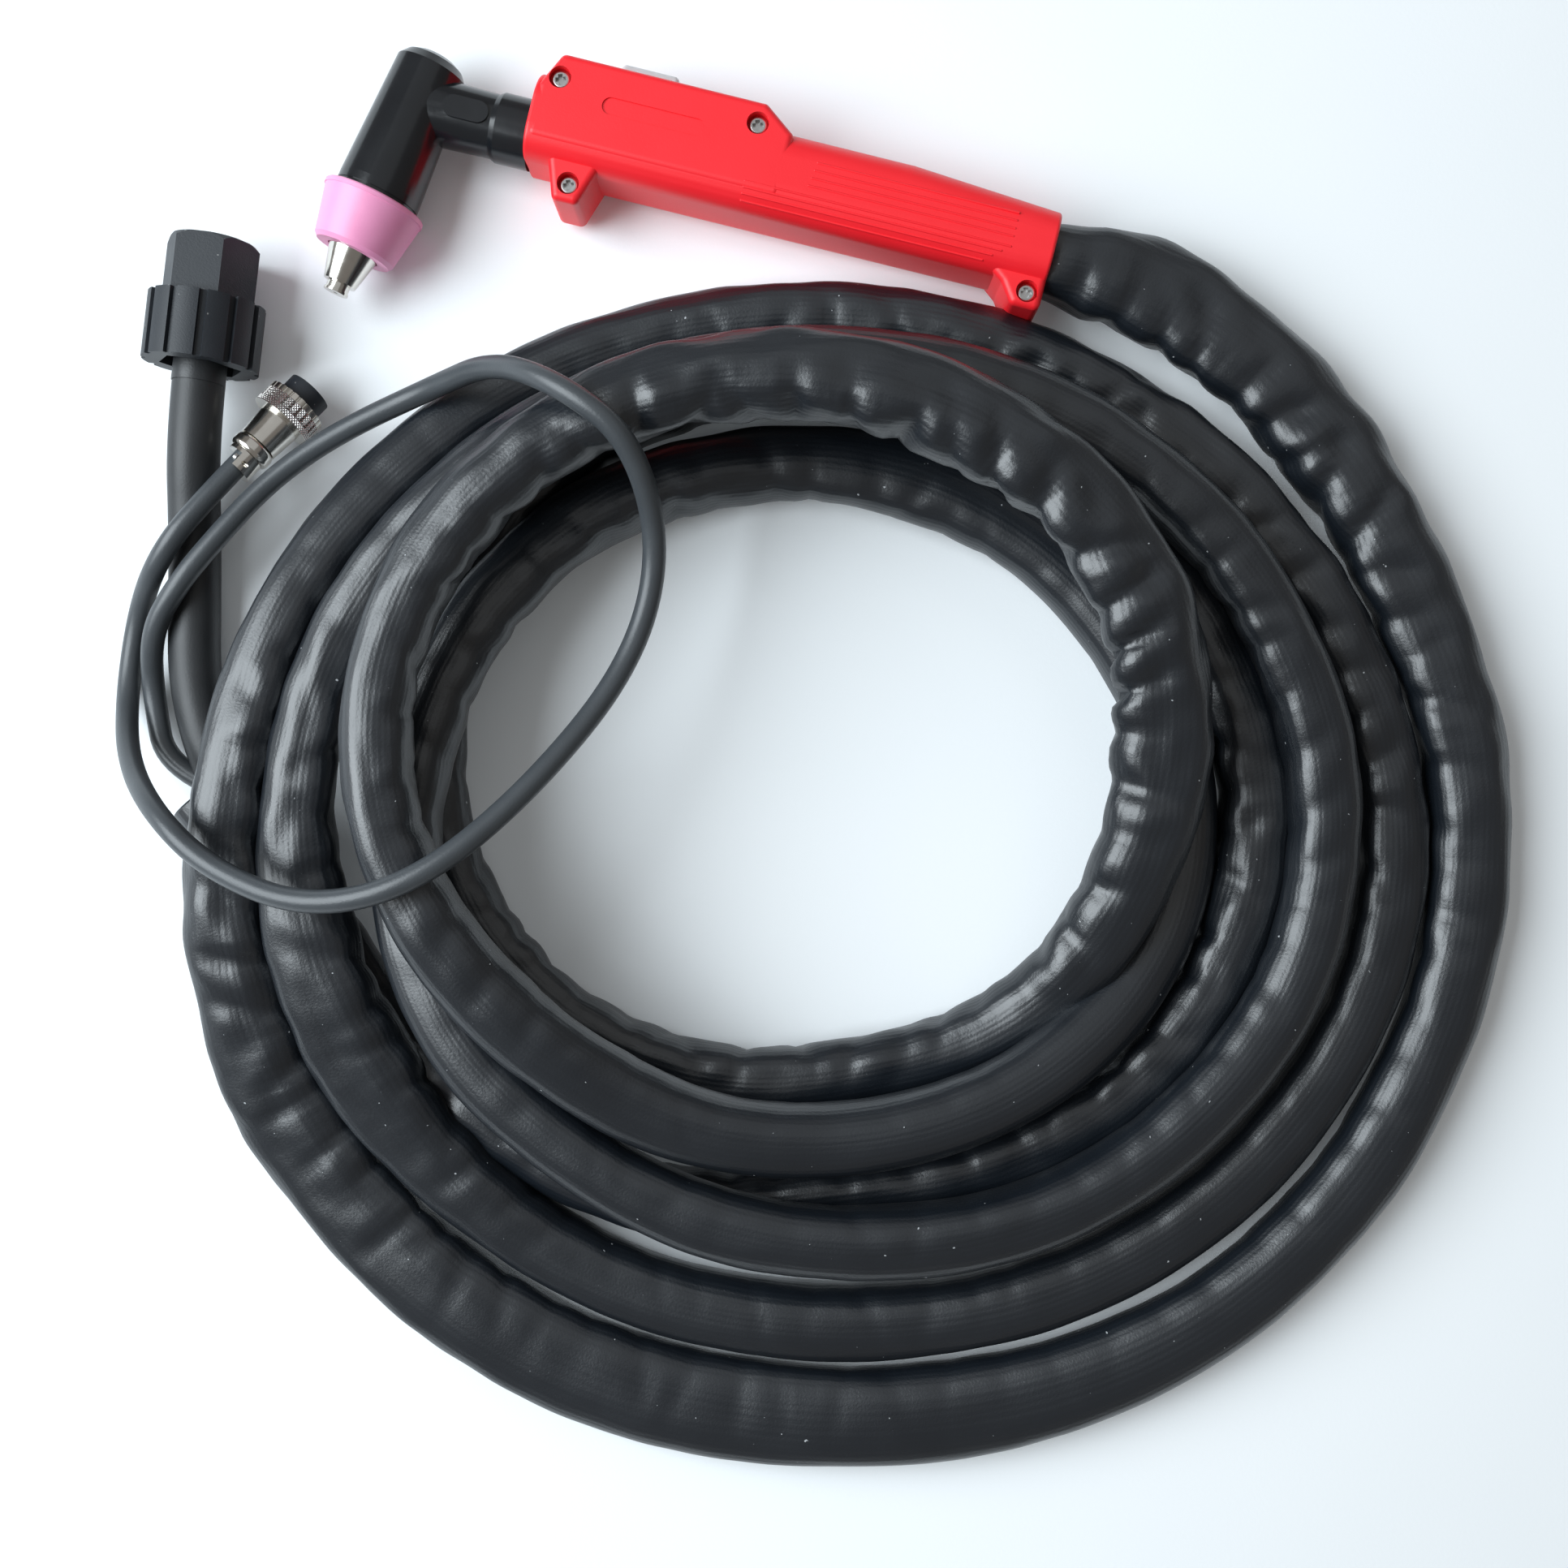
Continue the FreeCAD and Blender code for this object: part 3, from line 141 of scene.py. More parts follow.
class Finish:
    # one material: its Principled shader takes plain values, and links only where the surface changes
    def __init__(self, name, values=None):
        self.material = bpy.data.materials.new(name)
        self.material.use_nodes = True
        self.tree = self.material.node_tree
        self.shader = self.tree.nodes["Principled BSDF"]
        for key, value in (values or {}).items():
            self.feed(self.shader.inputs[key], value)

    def feed(self, socket, value):
        if isinstance(value, Wire):
            self.tree.links.new(value.socket, socket)
        elif socket.type == "RGBA" and len(value) == 3:
            socket.default_value = (*value, 1)
        else:
            socket.default_value = value

    def node(self, kind, settings=None, values=None):
        made = self.tree.nodes.new(kind)
        for key, value in (settings or {}).items():
            if key == "stops":
                ramp = made.color_ramp.elements
                while len(ramp) < len(value):
                    ramp.new(0.5)
                for stop, (place, colour) in zip(ramp, value):
                    stop.position = place
                    stop.color = (*colour, 1) if len(colour) == 3 else colour
            else:
                setattr(made, key, value)
        for key, value in (values or {}).items():
            self.feed(made.inputs[key], value)
        return Outputs(self, made)

    def place(self, kind="Object"):
        return self.node("ShaderNodeTexCoord")[kind]

    def stretched(self, where, scale):
        return self.node("ShaderNodeMapping", None, {"Vector": where, "Scale": scale})["Vector"]

    def grain(self, size, detail=3.0, where=None, rough=0.5):
        where = where or self.place()
        return self.node("ShaderNodeTexNoise", None,
                         {"Vector": where, "Scale": 1 / size, "Detail": detail, "Roughness": rough})["Fac"]

    def ramp(self, factor, *stops):
        greys = [(place, (level,) * 3) for place, level in stops]
        return self.node("ShaderNodeValToRGB", {"stops": greys}, {"Fac": factor})["Color"]

    def mixed(self, factor, first, second):
        made = self.node("ShaderNodeMix", {"data_type": "RGBA"}, {0: factor, 6: first, 7: second})
        return Wire(self, made.node.outputs[2])

    def bump(self, height, strength, deep):
        normal = self.node("ShaderNodeBump", None,
                           {"Height": height, "Strength": strength, "Distance": deep})["Normal"]
        self.feed(self.shader.inputs["Normal"], normal)


# Folds and streaks as counts per metre around and along the sleeve; ribs as a count around it
sheathSkinLook = {
    "girth": 0.082, "ribs": 40, "folds": (38, 85, 1), "streaks": (420, 9, 1),
    "dark": (0.0045, 0.0070, 0.0108), "light": (0.0085, 0.0122, 0.0175), "dust": (0.42, 0.44, 0.46),
    "rough": 0.27, "cloudRough": 0.14, "streakRough": 0.06,
    "ribBump": 0.022, "streakBump": 0.07, "skinBump": 0.05, "bump": (0.75, 0.0016),
}


def sheathFinish():
    look = sheathSkinLook
    finish = Finish("sheathVinyl", {"Specular IOR Level": 0.85, "IOR": 1.5})
    along = finish.place("UV")
    streaks = finish.grain(1.0, 3.0, finish.stretched(along, look["streaks"]), 0.55)
    folds = finish.grain(1.0, 2.0, finish.stretched(along, look["folds"]), 0.45)
    around = finish.node("ShaderNodeSeparateXYZ", None, {"Vector": along})["X"]
    ribs = around.sum("SINE", around * (2 * math.pi * look["ribs"] / look["girth"]))
    gathered = finish.node("ShaderNodeAttribute", {"attribute_name": "gathered"})["Fac"]
    skin = finish.grain(0.0007, 2.0)
    cloud = finish.grain(0.035, 3.0)
    dust = finish.ramp(finish.grain(0.0016, 1.0), (0.80, 0), (0.825, 1))
    tone = finish.mixed(cloud, look["dark"], look["light"])
    finish.feed(finish.shader.inputs["Base Color"], finish.mixed(dust, tone, look["dust"]))
    rough = look["rough"] + cloud * look["cloudRough"] + streaks * look["streakRough"]
    finish.feed(finish.shader.inputs["Roughness"], rough)
    height = folds * gathered + ribs * cloud * look["ribBump"]
    finish.bump(height + streaks * look["streakBump"] + skin * look["skinBump"], *look["bump"])
    return finish.material


# Plain finishes: clouds from dark to light, roughness with shares of cloud and skin, and a fine raised skin
rubber = {
    "values": {"Specular IOR Level": 0.5}, "cloud": (0.012, 3.0), "skin": (0.0006, 3.0),
    "bump": (0.25, 0.0002),
}
plainLooks = {
    "redHandle": {
        "values": {"Specular IOR Level": 0.5}, "cloud": (0.02, 3.0), "skin": (0.00045, 2.0),
        "bump": (0.22, 0.00012),
        "dark": (0.92, 0.013, 0.022), "light": (0.98, 0.020, 0.032), "rough": (0.36, 0, 0.12),
    },
    "headMoulding": {
        "values": {"Specular IOR Level": 0.55}, "cloud": (0.015, 3.0), "skin": (0.004, 2.0),
        "bump": (0.15, 0.0002),
        "dark": (0.0055, 0.0065, 0.0085), "light": (0.010, 0.0115, 0.014), "rough": (0.16, 0.08, 0),
    },
    "nutPlastic": {
        "values": {"Specular IOR Level": 0.45}, "cloud": (0.008, 4.0), "skin": (0.0005, 2.0),
        "bump": (0.3, 0.00015),
        "dark": (0.010, 0.013, 0.018), "light": (0.019, 0.023, 0.029), "rough": (0.44, 0.14, 0),
        "chips": {"size": 0.0022, "from": 0.77, "to": 0.80, "tone": (0.20, 0.20, 0.20)},
    },
    "pinkCeramic": {
        "values": {"Specular IOR Level": 0.5}, "cloud": (0.006, 4.0), "skin": (0.0008, 3.0),
        "bump": (0.2, 0.00012),
        "dark": (0.84, 0.30, 0.52), "light": (0.92, 0.36, 0.60), "rough": (0.34, 0.14, 0),
    },
    "milkyButton": {
        "values": {"Transmission Weight": 0.30, "IOR": 1.45}, "cloud": (0.004, 3.0), "skin": (0.0006, 2.0),
        "bump": (0.15, 0.0001), "dark": (0.88, 0.91, 0.93), "light": (0.94, 0.96, 0.97),
        "rough": (0.35, 0.15, 0),
    },
    "wireCover": {
        "values": {}, "cloud": (0.005, 2.0), "dark": (0.50, 0.03, 0.03), "light": (0.60, 0.05, 0.05),
        "rough": (0.4, 0.1, 0),
    },
    "hoseRubber": {
        **rubber, "dark": (0.014, 0.016, 0.018), "light": (0.026, 0.028, 0.031), "rough": (0.42, 0.12, 0),
    },
    "ferruleBlack": {
        **rubber, "dark": (0.016, 0.018, 0.020), "light": (0.030, 0.032, 0.035), "rough": (0.36, 0.12, 0),
    },
    "leadRubber": {
        **rubber, "dark": (0.044, 0.050, 0.056), "light": (0.064, 0.072, 0.080), "rough": (0.30, 0.12, 0),
    },
}


def plainFinish(name):
    look = plainLooks[name]
    finish = Finish(name, look["values"])
    cloud = finish.grain(*look["cloud"])
    tone = finish.mixed(cloud, look["dark"], look["light"])
    if "chips" in look:
        chips = look["chips"]
        spots = finish.ramp(finish.grain(chips["size"], 1.0), (chips["from"], 0), (chips["to"], 1))
        tone = finish.mixed(spots, tone, chips["tone"])
    finish.feed(finish.shader.inputs["Base Color"], tone)
    rough, byCloud, bySkin = look["rough"]
    skin = finish.grain(*look["skin"]) if "skin" in look else None
    finish.feed(finish.shader.inputs["Roughness"], rough + (cloud * byCloud if byCloud else skin * bySkin))
    if skin:
        finish.bump(skin, *look["bump"])
    return finish.material


def metalFinish(name, dark, light, rough):
    finish = Finish(name, {"Metallic": 1.0})
    turning = finish.grain(0.003, 4.0)
    finish.feed(finish.shader.inputs["Base Color"], finish.mixed(turning, dark, light))
    finish.feed(finish.shader.inputs["Roughness"], rough + turning * 0.12)
    finish.bump(finish.grain(0.0004, 2.0), 0.12, 0.00008)
    return finish.material


finishes = {
    "red_plastic": plainFinish("redHandle"),
    "black_moulding": plainFinish("headMoulding"),
    "black_plastic": plainFinish("nutPlastic"),
    "pink_ceramic": plainFinish("pinkCeramic"),
    "clear_button": plainFinish("milkyButton"),
    "sheath_vinyl": sheathFinish(),
    "hose_rubber": plainFinish("hoseRubber"),
    "wire_cover": plainFinish("wireCover"),
    "steel": metalFinish("steel", (0.50, 0.50, 0.50), (0.62, 0.62, 0.61), 0.24),
    "nickel": metalFinish("nickel", (0.66, 0.63, 0.58), (0.76, 0.73, 0.68), 0.12),
    "brass": metalFinish("brass", (0.62, 0.45, 0.20), (0.74, 0.56, 0.28), 0.22),
    "copper": metalFinish("copper", (0.72, 0.36, 0.24), (0.82, 0.46, 0.32), 0.24),
}


# The plug's axis, the band of the knurl along it, and its teeth around and along, with painted shade in the
# grooves (dark) against the crests (bright)
knurl = {
    "start": (-0.1375, -0.1161, 0.0182), "way": (0.411, 0.874, -0.261), "low": 0.0200, "high": 0.0253,
    "count": 60, "pitch": 0.0010, "dark": (0.30, 0.29, 0.28), "bright": (0.72, 0.70, 0.67),
}


def knurlFinish():
    # a diamond knurl about the plug's own axis, up to the plain lip
    finish = Finish("knurledNickel", {"Metallic": 1.0})
    turn = Vector(knurl["way"]).rotation_difference(Vector((0, 0, 1)))
    shift = -(turn @ Vector(knurl["start"]))
    where = finish.node("ShaderNodeMapping", None, {
        "Vector": finish.place(), "Rotation": tuple(turn.to_euler()),
        "Location": tuple(shift)})["Vector"]
    spot = finish.node("ShaderNodeSeparateXYZ", None, {"Vector": where})
    height = spot["Z"]
    angle = height.sum("ARCTAN2", spot["Y"], spot["X"]) * (knurl["count"] / 2)
    climb = height * (math.pi / knurl["pitch"])
    first = height.sum("ABSOLUTE", height.sum("SINE", angle + climb))
    second = height.sum("ABSOLUTE", height.sum("SINE", angle - climb))
    band = height.over(knurl["low"]) * (1 - height.over(knurl["high"]))
    teeth = height.sum("MINIMUM", first, second) * band
    turning = finish.grain(0.003, 4.0)
    # painted shade: the grooves between the teeth are darkened, and the crests keep the bright nickel tone
    grooveShade = finish.mixed(teeth, knurl["dark"], knurl["bright"])
    finish.feed(finish.shader.inputs["Base Color"],
                finish.mixed(band, finish.mixed(turning, (0.66, 0.63, 0.58), (0.76, 0.73, 0.68)), grooveShade))
    finish.feed(finish.shader.inputs["Roughness"], 0.14 + turning * 0.12 + band * 0.12)
    finish.bump(teeth, 0.9, 0.0005)
    return finish.material


# Nodes with a finish of their own within their slot
ownFinishes = {
    "plug_coupling_ring": knurlFinish(),
    "stem_ferrule": plainFinish("ferruleBlack"),
}
leadRubber = plainFinish("leadRubber")


paper = {
    "size": 6, "dark": (0.89, 0.925, 0.95), "light": (0.93, 0.955, 0.975), "cloud": 0.12, "fibre": 0.0012,
    "glow": (0.86, 0.95, 1.0), "strength": 0.05,
}


def makeFloor():
    place = (cameraSetup["x"], cameraSetup["y"], 0)
    bpy.ops.mesh.primitive_plane_add(size=paper["size"], location=place)
    floor = bpy.context.object
    floor.name = "paper"
    finish = Finish("paper", {"Roughness": 0.9, "Specular IOR Level": 0.1})
    fibre = finish.grain(paper["fibre"], 3.0)
    cloud = finish.grain(paper["cloud"], 2.0)
    finish.feed(finish.shader.inputs["Base Color"], finish.mixed(cloud, paper["dark"], paper["light"]))
    finish.bump(fibre, 0.15, 0.0002)
    # a little glow for the camera and for reflections only, so that the paper lights nothing
    glow = finish.node("ShaderNodeEmission", None, {"Color": paper["glow"], "Strength": paper["strength"]})
    plain = Wire(finish, finish.shader.outputs[0])
    glowing = finish.node("ShaderNodeAddShader", None, {0: plain, 1: glow["Emission"]})
    path = finish.node("ShaderNodeLightPath")
    seen = (path["Is Camera Ray"] + path["Is Glossy Ray"]).clamped()
    final = finish.node("ShaderNodeMixShader", None, {0: seen, 1: plain, 2: glowing["Shader"]})
    output = finish.tree.nodes["Material Output"]
    finish.feed(output.inputs["Surface"], final["Shader"])
    floor.data.materials.append(finish.material)


room = {"colour": (1.0, 0.95, 0.90), "strength": 0.20}


def makeWorld():
    world = bpy.data.worlds.new("room")
    bpy.context.scene.world = world
    world.use_nodes = True
    background = world.node_tree.nodes["Background"]
    background.inputs["Color"].default_value = (*room["colour"], 1)
    background.inputs["Strength"].default_value = room["strength"]


makeCamera()
makeLights()
makeFloor()
makeWorld()
bpy.context.scene.view_settings.view_transform = "Standard"
print("torch: camera, light and paper")


# Cords

def splineOf(name, points):
    curve = bpy.data.curves.new(name, "CURVE")
    curve.dimensions = "3D"
    curve.resolution_u = 12
    spline = curve.splines.new("NURBS")
    spline.points.add(len(points) - 1)
    for knot, place in zip(spline.points, points):
        knot.co = (*[value * mm for value in place], 1)
    spline.order_u = 3
    spline.use_endpoint_u = True
    return bpy.data.objects.new(name, curve)


def lineOf(holder):
    # the spline's own line, as points along a curve with no bevel
    mesh = bpy.data.meshes.new_from_object(holder)
    line = [vertex.co.copy() for vertex in mesh.vertices]
    bpy.data.meshes.remove(mesh)
    return line


def lengthOf(line):
    return sum((b - a).length for a, b in zip(line, line[1:]))


def blendOf(rows, at):
    # the value at a place between rows of (place, value)
    if at <= rows[0][0]:
        return rows[0][1]
    for (low, first), (high, second) in zip(rows, rows[1:]):
        if at <= high:
            share = (at - low) / (high - low)
            share = share * share * (3 - 2 * share)
            return first + (second - first) * share
    return rows[-1][1]


def cordPiece(name, points, radius, material):
    piece = splineOf(name, points)
    bpy.context.scene.collection.objects.link(piece)
    piece.data.bevel_depth = radius * mm
    piece.data.bevel_resolution = 7
    piece.data.use_fill_caps = True
    piece.data.materials.append(material)
    return piece


# The sheath's turns: degrees clockwise from the photograph's right, distance from the coil's middle, height
# of the centre line, width and height of the soft sleeve there

sheathCoil = {
    "middle": (63.9, -187.0),
    "turn": 13.9,
    "step": 15,
    "turns": [
        (-37, 189, 10, 28, 20), (-22, 188, 10, 26, 20), (0, 186, 10, 23, 20), (45, 173, 10, 24, 19),
        (90, 163, 8.5, 29.5, 17), (135, 173, 9, 30, 17), (158, 180, 14, 29, 17), (170, 180, 24, 26, 17),
        (183, 178, 31, 23, 17), (200, 178, 31, 19, 18), (225, 175.5, 18, 20, 19), (250, 169, 10, 20, 20),
        (270, 164.5, 10, 20, 20), (300, 161.5, 10, 20, 20), (330, 162, 10, 20.5, 20),
        (360, 163, 10, 20.5, 20), (405, 145, 10, 22, 20), (450, 134, 10, 22.5, 20),
        (495, 143.5, 12, 22, 18), (512, 148.5, 20, 26, 17), (525, 152.5, 29, 31, 15),
        (540, 156.5, 33, 21, 18), (555, 159.5, 34, 19.5, 19), (585, 155.5, 34, 19.5, 20),
        (630, 145, 34, 20, 20), (675, 143.5, 28, 19.5, 20), (720, 139, 21, 20.5, 20),
        (765, 118, 26, 20.5, 20), (810, 105.5, 31, 20.5, 20), (855, 110.5, 33, 20, 20),
        (878, 121, 34, 20, 20), (900, 126, 34, 20, 19), (928, 128.5, 31, 20, 19), (945, 129.5, 24, 20, 19),
        (961, 127.5, 16, 20.5, 19), (990, 120.5, 10, 23, 18), (1035, 108.5, 10, 21, 19),
        (1080, 99.5, 10, 20, 20), (1125, 80, 26, 21, 20), (1170, 75, 32, 20.5, 20),
        (1215, 88.5, 40, 22, 20), (1237, 101, 49, 22, 20), (1260, 122, 55, 19.5, 20),
        (1282, 139, 56, 19.5, 20), (1305, 146, 56, 20, 20), (1327, 143, 56, 21.5, 20),
        (1350, 135.5, 55, 24.5, 20), (1372, 126, 51, 24.5, 20), (1395, 113.5, 45, 26.5, 19),
        (1417, 97, 38, 27.5, 19), (1440, 81, 30, 24.5, 20), (1485, 64.5, 12, 21, 20),
        (1530, 60, 10, 20, 20), (1575, 81, 10, 20, 20), (1620, 118, 10, 20, 19), (1635, 127.5, 10, 20, 19),
        (1665, 145, 10, 19.5, 19), (1687, 151, 11, 20, 19), (1710, 145.5, 13, 20, 20),
        (1755, 131, 12, 20.5, 20), (1800, 121, 10, 21.5, 20), (1845, 103, 10, 21, 20),
        (1890, 94.5, 10, 20.5, 20), (1920, 113, 10, 20.5, 20), (1935, 122.5, 10, 20.5, 20),
        (1948, 131, 10, 20.5, 20), (1960, 145, 10, 21, 19),
    ],
}

# From inside the handle's rear end to the first turn: x, y, z, width, height
sheathStart = [
    (67, 0, 15, 19, 19), (79, 0.5, 15, 21, 21), (92, 1.5, 14.5, 27, 22), (106, 1.0, 13, 30, 21),
    (121, -2.5, 12, 30, 20), (138, -9, 11, 29, 20), (156, -18.5, 10.5, 28.5, 20),
]

# From the last turn to the open end: x, y, z, width, height
sheathEnd = [
    (-87.2, -237.5, 10, 22, 19), (-97, -230.0, 10, 23, 18.5), (-111, -219.2, 10, 25.5, 18.5),
    (-123.6, -209.4, 10, 27, 18.5),
]


def coilPlace(angle, reach):
    turn = math.radians(sheathCoil["turn"] - angle)
    x, y = sheathCoil["middle"]
    return x + reach * math.cos(turn), y + reach * math.sin(turn)


def hermite(rows, at):
    # a smooth curve through rows of (place, values...)
    last = len(rows) - 1
    i = max(0, min(last - 1, sum(row[0] <= at for row in rows) - 1))
    before, low, high, after = rows[max(0, i - 1)], rows[i], rows[i + 1], rows[min(last, i + 2)]
    span = high[0] - low[0]
    t = (at - low[0]) / span
    made = []
    for k in range(1, len(low)):
        s0 = (high[k] - before[k]) / (high[0] - before[0])
        s1 = (after[k] - low[k]) / (after[0] - low[0])
        made.append((2 * t ** 3 - 3 * t ** 2 + 1) * low[k] + (t ** 3 - 2 * t ** 2 + t) * span * s0
                    + (-2 * t ** 3 + 3 * t ** 2) * high[k] + (t ** 3 - t ** 2) * span * s1)
    return made


def sheathRoute():
    # every control point of the sheath's spline, with the sleeve's width, height and turning angle there
    rows = sheathCoil["turns"]
    route = [(*row, None) for row in sheathStart]
    angle = rows[0][0]
    while angle <= rows[-1][0]:
        reach, z, wide, tall = hermite(rows, angle)
        x, y = coilPlace(angle, reach)
        route.append((x, y, z, wide, tall, angle))
        angle += sheathCoil["step"]
    return route + [(*row, None) for row in sheathEnd]


sheathLook = {
    "around": 46,
    "pitch": 2.28,
    "seed": 11,
    "fullness": 2.4,
    "before": -90,
    "after": 1960,
    "heading": 2,
    "clear": 0.15,
    "deepest": -4.0,
    "highest": 1.4,
    # how far the hem stands out or runs back, and how far it lies inside the sleeve
    "hem": ((0.6, 0.0), (0.5, 1.2), (-3, 1.2), (-12, 1.2), (-26, 1.2)),
}

# Slow waves over the whole sleeve: pitch along it, waves around it, height plain and where it is gathered
slowWave = {"pitch": 38, "around": 0.9, "shift": (7.1, 0), "plain": 0.5, "gathered": 0.9, "most": 2.0}
quickWave = {"pitch": 11, "around": 1.7, "shift": (0, 3.3), "plain": 0, "gathered": 1.0, "most": 1.3}

# Gathers on the inner side of the bends, in mm and degrees around the sleeve
gathers = {
    "first": 4.0, "spacing": (11.0, 20.0), "deep": (1.1, 2.3), "broad": (2.7, 4.9), "slant": (-6.0, 6.0),
    "round": (8, 68), "reach": (65, 112), "felt": 22, "fade": 1.5, "valley": 1.45, "sharp": 1.4,
    "shoulder": 0.55, "shoulderBroad": 2.2, "bumpAll": 0.25, "bumpInner": 0.75, "bumpTurn": 0.28,
}

# How strongly the inner side is puckered along the turns, by the turning angle
puckers = [
    (-90, 1.1), (-52, 1.2), (-20, 1.0), (10, 0.35), (60, 0.15), (125, 0.35), (150, 0.9), (180, 1.1),
    (215, 0.25), (262, 0.6), (300, 1.2), (345, 0.9), (380, 0.25), (480, 0.2), (515, 0.9), (560, 0.6),
    (600, 0.25), (690, 0.6), (740, 0.25), (880, 0.2), (905, 0.5), (960, 0.8), (1000, 0.4), (1035, 0.12),
    (1080, 0.1), (1200, 0.15), (1282, 0.6), (1330, 1.1), (1355, 1.75), (1410, 1.75), (1440, 0.9),
    (1485, 0.5), (1560, 0.6), (1640, 0.6), (1700, 0.6), (1755, 0.6), (1800, 0.9), (1845, 0.8), (1950, 0.8),
]


def sheathSkin(line, route):
    # rings along the line: centre, side, up, widths, and how far round the coil they are
    total = lengthOf(line) / mm
    count = int(total / sheathLook["pitch"])
    along = [0.0]
    for a, b in zip(line, line[1:]):
        along.append(along[-1] + (b - a).length / mm)
    rings = []
    j = 0
    for i in range(count + 1):
        at = total * i / count
        while j < len(along) - 2 and along[j + 1] < at:
            j += 1
        share = (at - along[j]) / (along[j + 1] - along[j])
        centre = line[j].lerp(line[j + 1], share)
        # where this place lies among the route's points
        knot = (j + share) / (len(line) - 1) * (len(route) - 2) + 0.5
        knot = min(max(knot, 0.0), len(route) - 1.001)
        low = int(knot)
        part = knot - low
        first, second = route[low], route[low + 1]
        wide = first[3] + (second[3] - first[3]) * part
        tall = first[4] + (second[4] - first[4]) * part
        beyond = sheathLook["before"] if low < len(sheathStart) else sheathLook["after"]
        angles = [beyond if row[5] is None else row[5] for row in (first, second)]
        angle = angles[0] + (angles[1] - angles[0]) * part
        rings.append({"at": at, "centre": centre, "wide": wide, "tall": tall, "angle": angle})
    for i, ring in enumerate(rings):
        a = rings[max(0, i - sheathLook["heading"])]["centre"]
        b = rings[min(len(rings) - 1, i + sheathLook["heading"])]["centre"]
        heading = (b - a).normalized()
        ring["heading"] = heading
        ring["side"] = heading.cross(Vector((0, 0, 1))).normalized()
        ring["up"] = ring["side"].cross(heading).normalized()
    return rings


def pinches(rings):
    # gathers on the inner side of the bends: where, how deep, how broad, how slanted
    rng = random.Random(sheathLook["seed"])
    found = []
    at = gathers["first"]
    while at < rings[-1]["at"]:
        ring = rings[min(len(rings) - 1, int(at / rings[-1]["at"] * (len(rings) - 1)))]
        found.append({
            "at": at,
            "deep": blendOf(puckers, ring["angle"]) * rng.uniform(*gathers["deep"]),
            "broad": rng.uniform(*gathers["broad"]),
            "slant": rng.uniform(*gathers["slant"]),
            "round": math.radians(rng.uniform(*gathers["round"])),
            "reach": math.radians(rng.uniform(*gathers["reach"])),
        })
        at += rng.uniform(*gathers["spacing"])
    return found


def pinchLift(gather, at, turn):
    # how far one gather draws the skin in, or lifts it at its shoulders
    off = (turn - gather["round"] + math.pi) % (2 * math.pi) - math.pi
    window = math.cos(min(1.0, abs(off) / gather["reach"]) * math.pi / 2) ** gathers["fade"]
    if window <= 0.01:
        return 0.0
    d = (at - gather["at"] - gather["slant"] * off) / gather["broad"]
    shoulder = gathers["shoulder"] * math.exp(-(d / gathers["shoulderBroad"]) ** 2)
    return gather["deep"] * window * (shoulder - gathers["valley"] * math.exp(-abs(d) ** gathers["sharp"]))


def waveLift(wave, at, c, s, strong):
    across, over = wave["shift"]
    place = Vector((at / wave["pitch"], c * wave["around"] + across, s * wave["around"] + over))
    return noise.noise(place) * (wave["plain"] + wave["gathered"] * min(strong, wave["most"]))


def sheathMesh(line, route):
    rings = sheathSkin(line, route)
    found = pinches(rings)
    around = sheathLook["around"]
    full = sheathLook["fullness"]
    points = []
    gathered = []
    for ring in rings:
        at = ring["at"]
        near = [gather for gather in found if abs(gather["at"] - at) <= gathers["felt"]]
        strong = blendOf(puckers, ring["angle"])
        for k in range(around):
            turn = 2 * math.pi * k / around
            c, s = math.cos(turn), math.sin(turn)
            # a rounded box: a little fuller than an ellipse
            out = (abs(c) ** full + abs(s) ** full) ** (-1 / full)
            x, y = c * out * ring["wide"] / 2, s * out * ring["tall"] / 2
            lift = sum(pinchLift(gather, at, turn) for gather in near)
            lift += waveLift(slowWave, at, c, s, strong) + waveLift(quickWave, at, c, s, strong)
            lift = max(sheathLook["deepest"], min(sheathLook["highest"], lift))
            grow = 1 + lift / math.hypot(x, y)
            place = ring["centre"] + (ring["side"] * x + ring["up"] * y) * grow * mm
            place.z = max(place.z, sheathLook["clear"] * mm)
            points.append(place)
            inner = max(0.0, math.cos(turn - gathers["bumpTurn"]))
            gathered.append(min(1.0, strong) * (gathers["bumpAll"] + gathers["bumpInner"] * inner))
    return rings, points, gathered


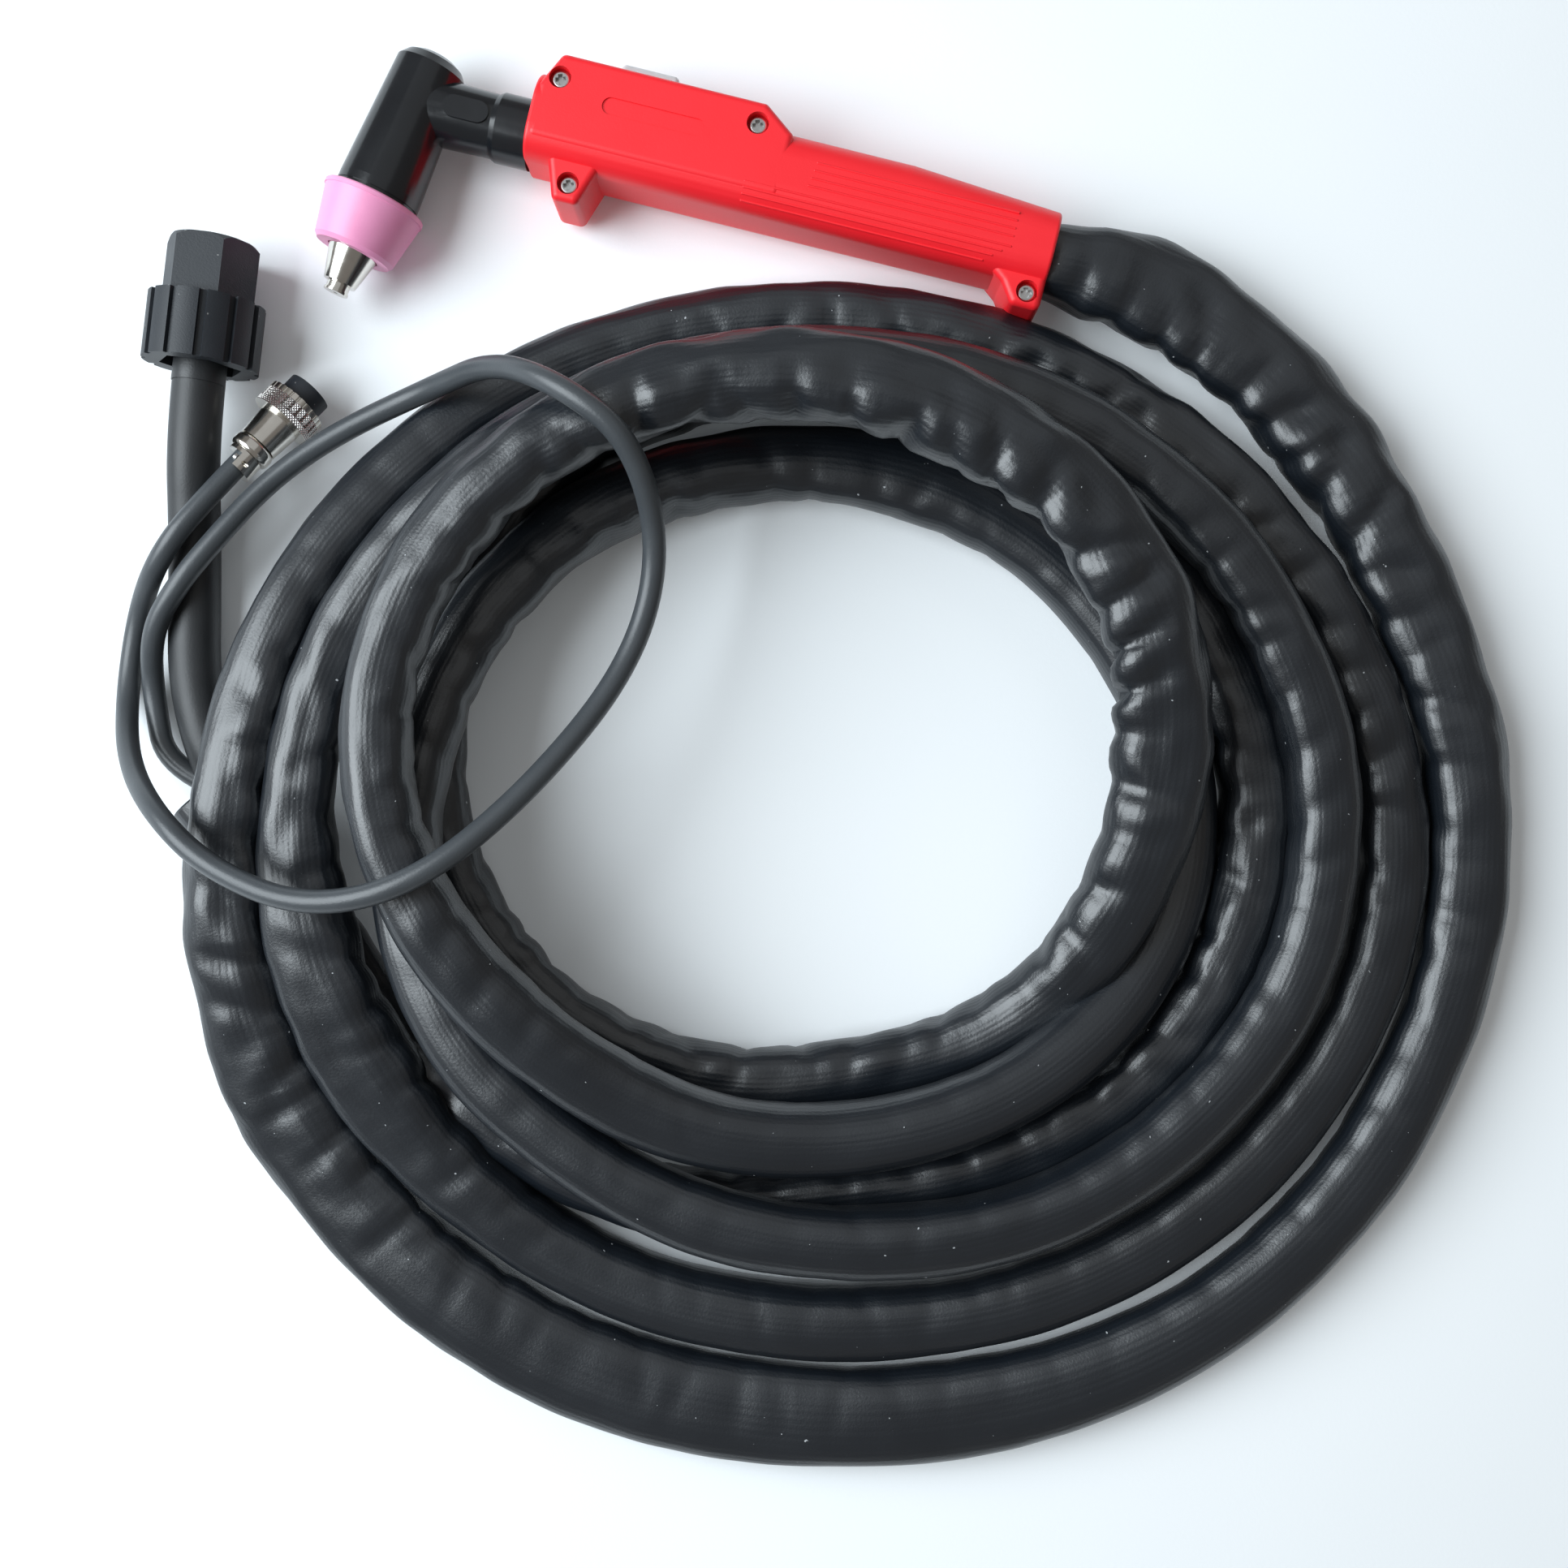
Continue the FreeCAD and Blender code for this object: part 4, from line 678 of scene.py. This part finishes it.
def buildSheath():
    route = sheathRoute()
    holder = splineOf("sheathLine", [row[:3] for row in route])
    line = lineOf(holder)
    bpy.data.objects.remove(holder)
    rings, points, gathered = sheathMesh(line, route)
    around = sheathLook["around"]
    mesh = bmesh.new()
    verts = [mesh.verts.new(place) for place in points]
    uvs = mesh.loops.layers.uv.new("sleeve")

    def patch(rows, coordinates):
        for i in range(len(rows) - 1):
            for k in range(around):
                n = (k + 1) % around
                face = mesh.faces.new((rows[i][k], rows[i][n], rows[i + 1][n], rows[i + 1][k]))
                face.smooth = True
                for loop, (r, c) in zip(face.loops, ((i, k), (i, k + 1), (i + 1, k + 1), (i + 1, k))):
                    loop[uvs].uv = (c / around * sheathSkinLook["girth"], coordinates[r])

    rows = [verts[i * around:(i + 1) * around] for i in range(len(rings))]
    patch(rows, [ring["at"] * mm for ring in rings])
    # the hem: the sleeve turns in at its open end and runs back inside
    inside = [rows[-1]]
    ats = [rings[-1]["at"] * mm]
    for back, sink in sheathLook["hem"]:
        at = len(rings) - 1 if back > 0 else int(len(rings) - 1 + back / sheathLook["pitch"])
        ring = rings[at]
        middle = ring["centre"]
        row = []
        for place in points[at * around:(at + 1) * around]:
            out = place - middle
            out = out - ring["heading"] * out.dot(ring["heading"])
            shift = ring["heading"] * max(0.0, back) * mm
            row.append(mesh.verts.new(middle + out * max(0.0, 1 - sink * mm / out.length) + shift))
        inside.append(row)
        ats.append(ats[-1] + 0.002)
    patch(inside, ats)
    mesh.faces.new(list(reversed(inside[-1])))
    mesh.faces.new(list(reversed(rows[0])))
    bmesh.ops.recalc_face_normals(mesh, faces=mesh.faces[:])
    data = bpy.data.meshes.new("sheath")
    mesh.verts.index_update()
    mesh.to_mesh(data)
    mesh.free()
    strengths = gathered + [0.0] * (len(data.vertices) - len(gathered))
    data.attributes.new("gathered", "FLOAT", "POINT").data.foreach_set("value", strengths)
    piece = bpy.data.objects.new("sheath", data)
    bpy.context.scene.collection.objects.link(piece)
    data.materials.append(finishes["sheath_vinyl"])
    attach(piece, "torch")
    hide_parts("sheath_stretch", "sheath_coil", "sheath_end")
    round(lengthOf(line), 3)
    print("torch: sheath", round(lengthOf(line), 3), "m,", len(data.polygons), "faces")
    return piece


gasHose = {
    "radius": 7.5,
    "points": [
        (-103.3, -224.1, 8.9), (-132.6, -198.2, 8.7), (-147.0, -138.6, 7.6), (-152.3, -109.0, 16.5),
        (-155.9, -80.3, 16.5),
    ],
}
triggerLead = {
    "radius": 3.25,
    "points": [
        (-110.6, -209.0, 10.0), (-137.9, -208.4, 8.0), (-149.6, -186.0, 4.0), (-150.8, -168.0, 14.8),
        (-144.5, -153.0, 20.8), (-138.0, -139.0, 20.5), (-127.0, -117.0, 18.0), (-110.0, -98.5, 20.0),
        (-84.0, -80.0, 27.0), (-64.0, -74.5, 54.0), (-43.0, -79.0, 71.5), (-20.0, -88.5, 71.0),
        (-7.5, -113.0, 50.0), (-8.5, -146.0, 48.0), (-26.0, -186.0, 62.0), (-48.0, -216.0, 70.5),
        (-76.0, -229.5, 62.0), (-106.0, -227.0, 50.0), (-126.0, -217.0, 45.0), (-146.0, -206.0, 21.0),
        (-157.5, -188.0, 3.3), (-160.0, -164.0, 3.3), (-152.0, -147.0, 20.5), (-144.1, -130.1, 22.4),
        (-132.2, -104.7, 14.8),
    ],
}


def buildCord(name, route, node, rubber):
    piece = cordPiece(name, route["points"], route["radius"], rubber)
    line = lineOf(splineOf(name + "Line", route["points"]))
    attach(piece, "torch")
    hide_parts(node)
    round(lengthOf(line), 3)
    print("torch:", name, round(lengthOf(line), 3), "m")
    return piece


buildSheath()
buildCord("gasHose", gasHose, "gas_hose", finishes["hose_rubber"])
buildCord("triggerLead", triggerLead, "trigger_lead", leadRubber)


# Finishes for the nodes that keep their own shape

for part in frame["record"]["subparts"]:
    holder = nodes[part["node"]]
    holder.data.materials.clear()
    holder.data.materials.append(ownFinishes.get(part["node"], finishes[part["material_slot"]]))
print("torch: finishes on the nodes")
